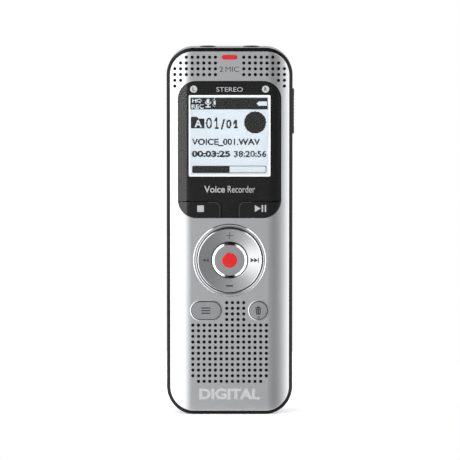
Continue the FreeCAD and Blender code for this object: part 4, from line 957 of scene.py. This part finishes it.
@dataclass
class Display:
    """Dot-matrix display: a pale field whose dark dots are set where a drawing covers them."""

    glass_y: float = -7.2
    middle_z: float = 82.15
    pitch: float = 0.18
    count: int = 128
    gap_share: float = 0.003
    field_layer: tuple[float, float] = (0.02, -0.005)
    dot_lift: float = 0.035
    dot_depth: float = 0.02
    # The status bar: quality and mode, a microphone, sound waves and a battery, all clear on a dark bar.
    status_box: Box = (-11.43, 11.16, 89.86, 93.34)
    quality_box: Box = (-10.95, -8.2, 91.75, 93.05)
    mode_box: Box = (-11.15, -7.5, 90.1, 91.4)
    small_weight: float = 0.02
    capsule_box: Box = (-6.75, -5.85, 91.65, 93.05)
    capsule_r: float = 0.44
    stem_box: Box = (-6.42, -6.18, 90.75, 91.3)
    stand_box: Box = (-6.95, -5.65, 90.5, 90.72)
    yoke_middle: tuple[float, float] = (-6.3, 92.2)
    yoke_rs: tuple[float, float] = (0.72, 0.95)
    waves: tuple[Loop, ...] = (((-4.1, 91.15), (-4.1, 92.6), (-4.75, 92.25), (-4.75, 91.5)),
                               ((-5.1, 92.5), (-4.95, 92.35), (-4.3, 92.95), (-4.42, 93.1)),
                               ((-5.1, 91.2), (-4.95, 91.35), (-4.3, 90.75), (-4.42, 90.6)))
    battery: Loop = ((8.0, 91.6), (8.45, 90.95), (11.0, 90.95), (11.0, 92.25), (8.45, 92.25))
    # The page below it: a folder with its letter, the file's number, a level disc, name, times and bar.
    folder: Loop = ((-11.35, 84.25), (-7.35, 84.25), (-7.35, 87.25), (-9.2, 87.25), (-9.5, 87.7),
                    (-11.1, 87.7), (-11.35, 87.45))
    letter_box: Box = (-10.3, -8.1, 84.6, 86.85)
    number_box: Box = (-6.95, -5.15, 84.2, 87.5)
    number_weight: float = 0.012
    slash_box: Box = (-2.6, -1.3, 84.0, 87.1)
    total_box: Box = (-1.0, 0.55, 84.3, 86.9)
    page_weight: float = 0.03
    number_one: tuple[float, float, float] = (-3.75, 0.45, 0.6)  # middle, bar and foot
    total_one: tuple[float, float, float] = (1.85, 0.5, 0.5)
    disc: tuple[float, float, float] = (7.49, 86.05, 3.23)  # middle and radius
    name_box: Box = (-11.1, 8.95, 79.15, 81.3)
    played_box: Box = (-11.1, 0.2, 75.9, 77.75)
    played_weight: float = 0.045
    left_box: Box = (1.3, 10.85, 75.9, 77.75)
    left_weight: float = 0.026
    bar_box: Box = (-11.0, 10.85, 71.1, 73.35)
    bar_hole: Box = (-10.8, 10.65, 71.3, 73.15)
    bar_fill: Box = (-10.95, 0.0, 71.15, 73.3)
    bar_rs: tuple[float, float, float] = (0.5, 0.35, 0.3)  # of the bar, its hole and its fill

    @staticmethod
    def one(box: Box, middle_bar_foot: tuple[float, float, float]) -> Mark:
        """Draws a figure one: a bar with a flag at its head and a foot.

        Args:
            box: a box with the figure's bottom and top.
            middle_bar_foot: its middle, the bar's width and the foot's length to each side.

        Returns:
            The figure.
        """
        x, bar, foot = middle_bar_foot
        bottom, top = box[2:]
        left, right, head, sole = x - bar / 2, x + bar / 2, top - bar, bottom + bar
        return shape([(x - foot, bottom), (x + foot, bottom), (x + foot, sole), (right, sole), (right, top),
                      (left, top), (left - foot, head - bar), (left - foot, head - 2 * bar),
                      (left, head - bar), (left, sole), (x - foot, sole)])

    def status(self) -> tuple[list[Mark], list[Mark]]:
        """Draws the status bar.

        Returns:
            Its dark marks and its clear marks.
        """
        inner_r, outer_r = self.yoke_rs
        x, z = self.yoke_middle
        yoke = [*arc(x, z, outer_r, 180, 360, 12), *arc(x, z, inner_r, 360, 180, 12)]
        outlines = (rectangle(self.capsule_box, self.capsule_r), rectangle(self.stem_box),
                    rectangle(self.stand_box), yoke, *self.waves, self.battery)
        clear = [*map(shape, outlines), word("HQ", self.quality_box, self.small_weight),
                 word("REC", self.mode_box, self.small_weight)]
        return [shape(rectangle(self.status_box))], clear

    def page(self) -> tuple[list[Mark], list[Mark]]:
        """Draws what is below the status bar.

        Returns:
            Its dark marks and its clear marks.
        """
        bar_r, hole_r, fill_r = self.bar_rs
        dark = [shape(self.folder), word("0", self.number_box, self.number_weight),
                self.one(self.number_box, self.number_one), word("/", self.slash_box, self.page_weight),
                word("0", self.total_box, self.page_weight), self.one(self.total_box, self.total_one),
                shape(circle(*self.disc, 48)), word("VOICE_001.WAV", self.name_box, self.page_weight),
                word("00:03:25", self.played_box, self.played_weight),
                word("38:20:56", self.left_box, self.left_weight),
                shape(rectangle(self.bar_box, bar_r), rectangle(self.bar_hole, hole_r)),
                shape(rectangle(self.bar_fill, fill_r))]
        return dark, [word("A", self.letter_box, self.small_weight)]

    def stencil(self, mark: Mark) -> BVHTree:
        """Turns a mark to a tree of faces that rays can be sent through.

        Args:
            mark: the mark.

        Returns:
            The tree, flat at a height of 0.
        """
        mesh = mark.mesh(0.0)
        corners = [v.co.copy() for v in mesh.vertices]
        tree = BVHTree.FromPolygons(corners, [tuple(p.vertices) for p in mesh.polygons])
        bpy.data.meshes.remove(mesh)
        return tree

    def covers(self, stencils: Sequence[BVHTree], x: float, z: float) -> bool:
        """Tells whether one of the stencils lies over a point."""
        return any(tree.ray_cast(Vector((x, z, 1.0)), Vector((0.0, 0.0, -1.0)))[0] for tree in stencils)

    def dots(self) -> list[Vector]:
        """Finds the dark dots: those over which a dark mark lies and no clear one of its group.

        Returns:
            Their centres, in metres.
        """
        places = [(index + 0.5 - self.count / 2) * self.pitch for index in range(self.count)]
        found = []
        for group in (self.status(), self.page()):
            dark, clear = ([self.stencil(mark) for mark in marks] for marks in group)
            for z in (self.middle_z + rise for rise in places):
                for x in places:
                    if self.covers(dark, x, z) and not self.covers(clear, x, z):
                        found.append(Vector((x, self.glass_y - self.dot_lift, z)) * MM)
        return found

    def build(self) -> None:
        """Makes and dresses the display."""
        Shell("lcd_glass", "display_panel", LCD_WHITE).build()
        dress({"lcd_backlight": BACKLIGHT, "lcd_holder": HOUSING, "lcd_flex": FLEX})
        half = self.count * self.pitch / 2
        area = shape(rectangle((-half, half, self.middle_z - half, self.middle_z + half)))
        Print("display_field", LCD_PALE, level(self.glass_y), [area], slot="display_glass",
              layer=self.field_layer).build()
        side = self.pitch * (1 - self.gap_share) * MM
        inputs = {"Width": side, "Depth": self.dot_depth * MM, "Height": side}
        mesh = grown(BlockTree().build(), self.dots(), inputs, LCD_DARK)
        new_piece("display_pixels", mesh, None, "case")


@dataclass
class RingControl:
    """Four-way ring in its bright bezel, with the record key in its middle."""

    middle_z: float = 45.6
    edge_r: float = 9.2
    inner_r: float = 5.6
    edge_y: float = -9.45
    inner_y: float = -9.0
    face_r: float = 4.53
    face_lean: float = -0.99  # a normal's y, past which a face of the record key is its flat one
    crease_deg: float = 20.0
    plus_rise: float = 7.3
    plus_half_w: float = 1.04
    plus_half_h: float = 1.08
    stroke: float = 0.09
    minus_box: Box = (-1.05, 1.05, -7.75, -7.35)  # about the ring's middle
    back_xs: tuple[float, float] = (-6.58, -7.5)
    back_ends: tuple[float, float] = (0.45, -0.5)  # base and tip about each of them
    back_half: float = 0.5
    skip_xs: tuple[float, float] = (6.65, 7.7)
    skip_ends: tuple[float, float] = (-0.5, 0.6)
    skip_half: float = 0.7
    skip_bar: tuple[float, float] = (8.3, 8.58)
    icons_layer: tuple[float, float] = (0.014, 0.012)

    def face(self, x: float, z: float) -> float:
        """Gives the dished face's y at a point."""
        share = (math.hypot(x, z - self.middle_z) - self.inner_r) / (self.edge_r - self.inner_r)
        return self.inner_y + (self.edge_y - self.inner_y) * share

    def plus(self) -> Mark:
        """Draws the plus sign above the ring's middle.

        Returns:
            The sign, as one loop.
        """
        half, wide, high = self.stroke, self.plus_half_w, self.plus_half_h
        corners = [(-half, half), (-half, high), (half, high), (half, half), (wide, half),
                   (wide, -half), (half, -half), (half, -high), (-half, -high), (-half, -half),
                   (-wide, -half), (-wide, half)]
        return shape(shifted(corners, 0.0, self.middle_z + self.plus_rise))

    def icons(self) -> None:
        """Prints the ring's four icons."""
        z = self.middle_z
        minus = shape(shifted(rectangle(self.minus_box), 0.0, z))
        back, skip = ([wedge(x + ends[0], x + ends[1], z, half) for x in xs]
                      for xs, ends, half in ((self.back_xs, self.back_ends, self.back_half),
                                             (self.skip_xs, self.skip_ends, self.skip_half)))
        stop = shape(rectangle((*self.skip_bar, z - self.skip_half, z + self.skip_half)))
        for name, ink, marks in (("ring_icons_faint", INK_FAINT, [self.plus(), *back]),
                                 ("ring_icons_dark", INK_DARK, [minus, *skip, stop])):
            Print(name, ink, self.face, marks, "nav_ring", layer=self.icons_layer).build()

    def build(self) -> None:
        """Makes and dresses the ring and the record key."""
        Shell("ring_bezel", "bezel", CHROME, self.crease_deg).build()
        Shell("nav_ring", "ring", RING_PAINT, self.crease_deg).build()
        dress({"nav_carrier": SOCKET})
        key = Shell("record_key", "record_cap", CHROME, self.crease_deg).build()
        key.data.materials.append(KEY_FACE.build())
        for polygon in key.data.polygons:
            middle = polygon.center / MM
            reach = math.hypot(middle.x, middle.z - self.middle_z)
            if polygon.normal.y < self.face_lean and reach < self.face_r:
                polygon.material_index = 1
        Shell("record_dot", "record_inlay", RED_DOT).build()
        self.icons()


@dataclass
class SmallKeys:
    """Menu key and delete key below the ring."""

    skin_y: float = -9.0
    face_y: float = -9.35
    row_z: float = 30.75
    key_h: float = 5.3
    end_steps: int = 14
    end_flat: float = 0.01  # what is left straight between a key's two rounded corners
    keys: tuple[tuple[float, float], ...] = ((-6.85, 8.75), (8.5, 5.3))  # middle and width of each
    cap_steepness: float = 0.9
    cap_inset: float = -1.0
    gap: float = 0.14
    collar_width: float = 0.3
    collar_rise: float = 0.07
    menu_x: float = -6.98
    line_half: float = 1.35
    line_half_h: float = 0.16
    line_rows: tuple[float, ...] = (31.5, 30.73, 29.96)
    bin_x: float = 8.45
    can: tuple[Loop, ...] = (((-0.6, 29.55), (0.6, 29.55), (0.76, 31.25), (-0.76, 31.25)),
                             ((-0.34, 29.85), (-0.44, 31.0), (-0.26, 31.0), (-0.16, 29.85)),
                             ((0.34, 29.85), (0.44, 31.0), (0.26, 31.0), (0.16, 29.85)))
    lid: Loop = ((-0.9, 31.38), (0.9, 31.38), (0.8, 31.68), (0.35, 31.72), (0.3, 31.95), (-0.3, 31.95),
                 (-0.35, 31.72), (-0.8, 31.68))

    def outline(self, middle: float, width: float, grow: float) -> Loop:
        """Draws a key's outline.

        Args:
            middle: the key's middle.
            width: the key's width.
            grow: how much larger the outline is on each side.

        Returns:
            The outline, with ends that are all but half circles.
        """
        half_w, half_h = width / 2 + grow, self.key_h / 2 + grow
        box = (middle - half_w, middle + half_w, self.row_z - half_h, self.row_z + half_h)
        return rectangle(box, half_h - self.end_flat, self.end_steps)

    def collars(self) -> None:
        """Sets a low bevelled collar round each key's opening, as the press leaves it."""
        rings = []
        for middle, width in self.keys:
            inner = self.outline(middle, width, self.gap)
            outer = self.outline(middle, width, self.gap + self.collar_width)
            rings.append(bevel_mesh(inner, outer, self.skin_y, self.collar_rise))
        new_piece("key_collars", joined(rings), SKIN, "case")

    def build(self) -> None:
        """Makes and dresses both keys."""
        self.collars()
        for node, name in (("menu_key", "menu_cap"), ("delete_key", "delete_cap")):
            # The keys' sides get painted shade, for the shade in the gap round each key.
            Shell(node, name, KEY_PAINT, painted_side_shade=KEY_GAP_SHADE, side_steepness=self.cap_steepness,
                  side_inset_mm=self.cap_inset).build()
        left, right = self.menu_x - self.line_half, self.menu_x + self.line_half
        lines = [shape(rectangle((left, right, z - self.line_half_h, z + self.line_half_h)))
                 for z in self.line_rows]
        Print("menu_icon", INK_DARK, level(self.face_y), lines, "menu_button").build()
        can = shape(*[shifted(loop, self.bin_x, 0.0) for loop in self.can])
        lid = shape(shifted(self.lid, self.bin_x, 0.0))
        Print("delete_icon", INK_DARK, level(self.face_y), [can, lid], "delete_button").build()


@dataclass
class Sockets:
    """Plug sockets on the top end and the data socket at the bottom end."""

    contact_count: int = 5
    contact_pitch: float = 0.9
    contact_size: tuple[float, float, float] = (0.36, 0.04, 2.2)
    contact_start: float = 0.4  # from the tongue's mouth

    def build(self) -> None:
        """Makes and dresses the sockets."""
        Shell("headphone_jack", "headphone_socket", SOCKET).build()
        Shell("microphone_jack", "microphone_socket", SOCKET).build()
        Shell("usb_shell", "data_socket_shell", STEEL).build()
        dress({"usb_tongue": SOCKET})
        low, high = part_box("usb_tongue")
        width, depth, height = (size * MM for size in self.contact_size)
        z = low.z + self.contact_start * MM + height / 2
        points = [Vector(((index - (self.contact_count - 1) / 2) * self.contact_pitch * MM, high.y, z))
                  for index in range(self.contact_count)]
        inputs = {"Width": width, "Depth": depth, "Height": height}
        mesh = grown(BlockTree().build(), points, inputs, PAD_GOLD)
        new_piece("data_contacts", mesh, None, "case")


@dataclass
class HoldSwitch:
    """Slider on the right side, and the switch behind it."""

    def build(self) -> None:
        """Makes and dresses the slider."""
        Shell("hold_slider", "slider", HOUSING).build()
        dress({"switch_body": SOCKET})


@dataclass
class PowerBay:
    """Cells, springs, contacts and the sliding door."""

    back_y: float = 9.0
    arrow: Loop = ((-1.5, 44.0), (1.5, 44.0), (0.0, 42.0))
    spring_crease_deg: float = 50.0

    def build(self) -> None:
        """Makes and dresses the battery bay."""
        Shell("battery_door", "door", DOOR).build()
        for side in ("left", "right"):
            Shell(f"battery_{side}", f"cell_{side}", CELL).build()
        Shell("battery_springs", "cell_springs", STEEL, self.spring_crease_deg).build()
        dress({"door_pad": FOAM, "contact_plates": STEEL})
        Print("door_arrow", INK_FAINT, level(self.back_y), [shape(self.arrow)], "battery_cover",
              facing=1).build()


@dataclass
class BoardStack:
    """Circuit board with its chips, domes, rubber mat and the leads beside each chip."""

    lead_pitch: float = 0.8
    lead_width: float = 0.32
    lead_drop: float = 0.4
    lead_thickness: float = 0.12
    lead_reach: float = 0.35
    board_back_y: float = -3.2
    chip_row_z: float = 62.3
    # Left edge, rise above the row, width and height of each large chip.
    chips: tuple[Box, ...] = ((-9.5, 0.0, 9.0, 9.0), (1.0, 0.0, 12.0, 8.0), (-9.5, 10.5, 6.0, 5.0))

    def leads(self) -> None:
        """Sets bent leads at the right and left sides of the large chips."""
        for side, label in ((-1, "left"), (1, "right")):
            points = []
            for left, rise, wide, high in self.chips:
                x = left if side < 0 else left + wide
                count = int(high / self.lead_pitch)
                for index in range(count):
                    z = self.chip_row_z + rise + high / 2 + (index - (count - 1) / 2) * self.lead_pitch
                    points.append(Vector((x, self.board_back_y + self.lead_drop, z)) * MM)
            inputs = {"Width": self.lead_width * MM, "Thickness": self.lead_thickness * MM,
                      "Reach": side * self.lead_reach * MM, "Drop": self.lead_drop * MM}
            mesh = grown(LeadTree().build(), points, inputs, TIN)
            new_piece(f"chip_leads_{label}", mesh, None, "case")

    def build(self) -> None:
        """Makes and dresses the board."""
        self.leads()
        dress({"main_board": BOARD, "board_chips": CHIP, "key_domes": STEEL, "keypad_mat": SILICONE})


@dataclass
class Sound:
    """Speaker, its cloth and the two microphones."""

    def build(self) -> None:
        """Dresses the speaker and the microphones."""
        dress({"speaker_mesh": CLOTH, "speaker_gasket": FOAM, "speaker_basket": STEEL, "speaker_cone": PAPER,
               "speaker_magnet": MAGNET, "mic_capsules": CLOTH, "mic_boots": SILICONE})


# ---- Studio ---------------------------------------------------------------------------------------
@dataclass(frozen=True)
class Ramp:
    """A brightness that runs through stops along an angle or a height."""

    low: float
    high: float
    stops: Loop
    top: float = 1.0

    def build(self, tree: bpy.types.NodeTree, place: bpy.types.NodeSocket) -> bpy.types.NodeSocket:
        """Adds the ramp's nodes.

        Args:
            tree: the tree that gets them.
            place: the angle or height, in the stops' unit.

        Returns:
            The brightness there, as a share of top.
        """
        limits = {"From Min": self.low, "From Max": self.high}
        share = add_node(tree, "ShaderNodeMapRange", limits, {"Value": place}).outputs[0]
        ramp = add_node(tree, "ShaderNodeValToRGB", links={"Fac": share})
        elements = ramp.color_ramp.elements
        elements.remove(elements[-1])
        for index, (stop, value) in enumerate(self.stops):
            position = (stop - self.low) / (self.high - self.low)
            element = elements.new(position) if index else elements[0]
            element.position = position
            element.color = (value / self.top, value / self.top, value / self.top, 1.0)
        return ramp.outputs["Color"]


@dataclass
class Studio:
    """Pale floor, soft light and the camera."""

    aim: tuple[float, float, float] = (0.00012, 0.0, 0.05375)
    elevation_deg: float = 4.8
    distance: float = 1.15
    lens_mm: float = 304.0
    clip: tuple[float, float] = (0.01, 50.0)
    floor_r: float = 0.085
    floor_y: float = 0.07
    floor_z: float = -0.00005  # just below the case's foot, so that the two faces don't share a plane
    floor_corners: int = 96
    brightest: float = 4.0
    back_share: float = 0.3
    # Degrees round the object, 0 in front and positive to the right, and how bright the panels are there.
    around: Loop = ((-180, 0.2), (-158, 0.25), (-145, 1.4), (-120, 1.4), (-100, 2.5), (-15, 2.5),
                    (-12, 0.64), (0, 0.45), (8, 0.34), (24, 0.28), (42, 0.7), (58, 1.7), (72, 2.5),
                    (100, 2.5), (120, 1.4), (145, 1.4), (158, 0.25), (180, 0.2))
    behind: Loop = ((-180, 4.0), (-155, 4.0), (-145, 0.0), (145, 0.0), (155, 4.0), (180, 4.0))
    # Height of a ray's end on a ball of radius 1, for the panels and for the one behind.
    above: Loop = ((-1.0, 0.02), (-0.95, 0.03), (-0.9, 1.0), (0.8, 1.0), (0.88, 0.03), (1.0, 0.02))
    over: Loop = ((-1.0, 0.0), (0.0, 0.0), (0.05, 1.0), (0.5, 1.0), (0.7, 0.0), (1.0, 0.0))

    def camera(self) -> None:
        """Puts the camera in front, a little above the middle."""
        data = bpy.data.cameras.new("camera")
        data.lens = self.lens_mm
        data.clip_start, data.clip_end = self.clip
        eye = bpy.data.objects.new("camera", data)
        rise = math.radians(self.elevation_deg)
        back = Vector((0.0, -math.cos(rise), math.sin(rise)))
        eye.location = Vector(self.aim) + back * self.distance
        eye.rotation_mode = "QUATERNION"
        eye.rotation_quaternion = (-back).to_track_quat("-Z", "Y")
        bpy.context.scene.collection.objects.link(eye)
        bpy.context.scene.camera = eye

    def floor(self) -> None:
        """Lays the pale floor."""
        work = bmesh.new()
        bmesh.ops.create_circle(work, cap_ends=True, radius=self.floor_r, segments=self.floor_corners)
        bmesh.ops.translate(work, verts=work.verts, vec=Vector((0.0, self.floor_y, self.floor_z)))
        mesh = finished(work, "floor")
        mesh.materials.append(FLOOR_PAINT.build())
        floor = bpy.data.objects.new("floor", mesh)
        bpy.context.scene.collection.objects.link(floor)

    def panels(self, tree: bpy.types.NodeTree) -> bpy.types.NodeSocket:
        """Works out how bright the panels are where a ray ends.

        Args:
            tree: the world's tree.

        Returns:
            The brightness's socket.
        """
        ray = add_node(tree, "ShaderNodeTexCoord").outputs["Generated"]
        x, y, z = add_node(tree, "ShaderNodeSeparateXYZ", links={0: ray}).outputs
        front = add_node(tree, "ShaderNodeMath", {1: -1.0}, {0: y}, operation="MULTIPLY").outputs[0]
        turn = add_node(tree, "ShaderNodeMath", links={0: x, 1: front}, operation="ARCTAN2").outputs[0]
        angle = add_node(tree, "ShaderNodeMath", links={0: turn}, operation="DEGREES").outputs[0]
        around, behind = (Ramp(-180.0, 180.0, stops, self.brightest).build(tree, angle)
                          for stops in (self.around, self.behind))
        above, over = (Ramp(-1.0, 1.0, stops).build(tree, z) for stops in (self.above, self.over))
        sides = add_node(tree, "ShaderNodeMath", links={0: around, 1: above}, operation="MULTIPLY").outputs[0]
        back = add_node(tree, "ShaderNodeMath", links={0: behind, 1: over}, operation="MULTIPLY").outputs[0]
        total = add_node(tree, "ShaderNodeMath", {1: self.back_share}, {0: back, 2: sides},
                         operation="MULTIPLY_ADD").outputs[0]
        return add_node(tree, "ShaderNodeMath", {1: self.brightest}, {0: total},
                        operation="MULTIPLY").outputs[0]

    def surroundings(self) -> None:
        """Hangs soft panels round the object.

        They are bright at both sides, grey in front, dark straight above and below. The panel behind the
        object is bright above the floor's height only, so that the top face glows and the rim stays dark.
        The camera sees plain white behind the object.
        """
        world = bpy.data.worlds.new("studio")
        bpy.context.scene.world = world
        world.use_nodes = True
        tree = world.node_tree
        tree.nodes.clear()
        white = (1.0, 1.0, 1.0, 1.0)
        lit = add_node(tree, "ShaderNodeBackground", {"Color": white}, {"Strength": self.panels(tree)})
        seen = add_node(tree, "ShaderNodeBackground", {"Color": white, "Strength": 1.0})
        eye = add_node(tree, "ShaderNodeLightPath").outputs["Is Camera Ray"]
        mix = add_node(tree, "ShaderNodeMixShader", links={0: eye, 1: lit.outputs[0], 2: seen.outputs[0]})
        add_node(tree, "ShaderNodeOutputWorld", links={"Surface": mix.outputs[0]})

    def build(self) -> None:
        """Sets the studio up."""
        self.camera()
        self.floor()
        self.surroundings()
        bpy.context.scene.view_settings.view_transform = "Standard"


def main() -> None:
    """Builds the recorder and the studio."""
    logging.basicConfig(level=logging.INFO, format="%(name)s %(message)s")
    for part in (Case(), Window(), Display(), RingControl(), SmallKeys(), Sockets(), HoldSwitch(), PowerBay(),
                 BoardStack(), Sound(), Studio()):
        LOG.info("building %s", type(part).__name__)
        part.build()


if __name__ == "__main__":
    main()
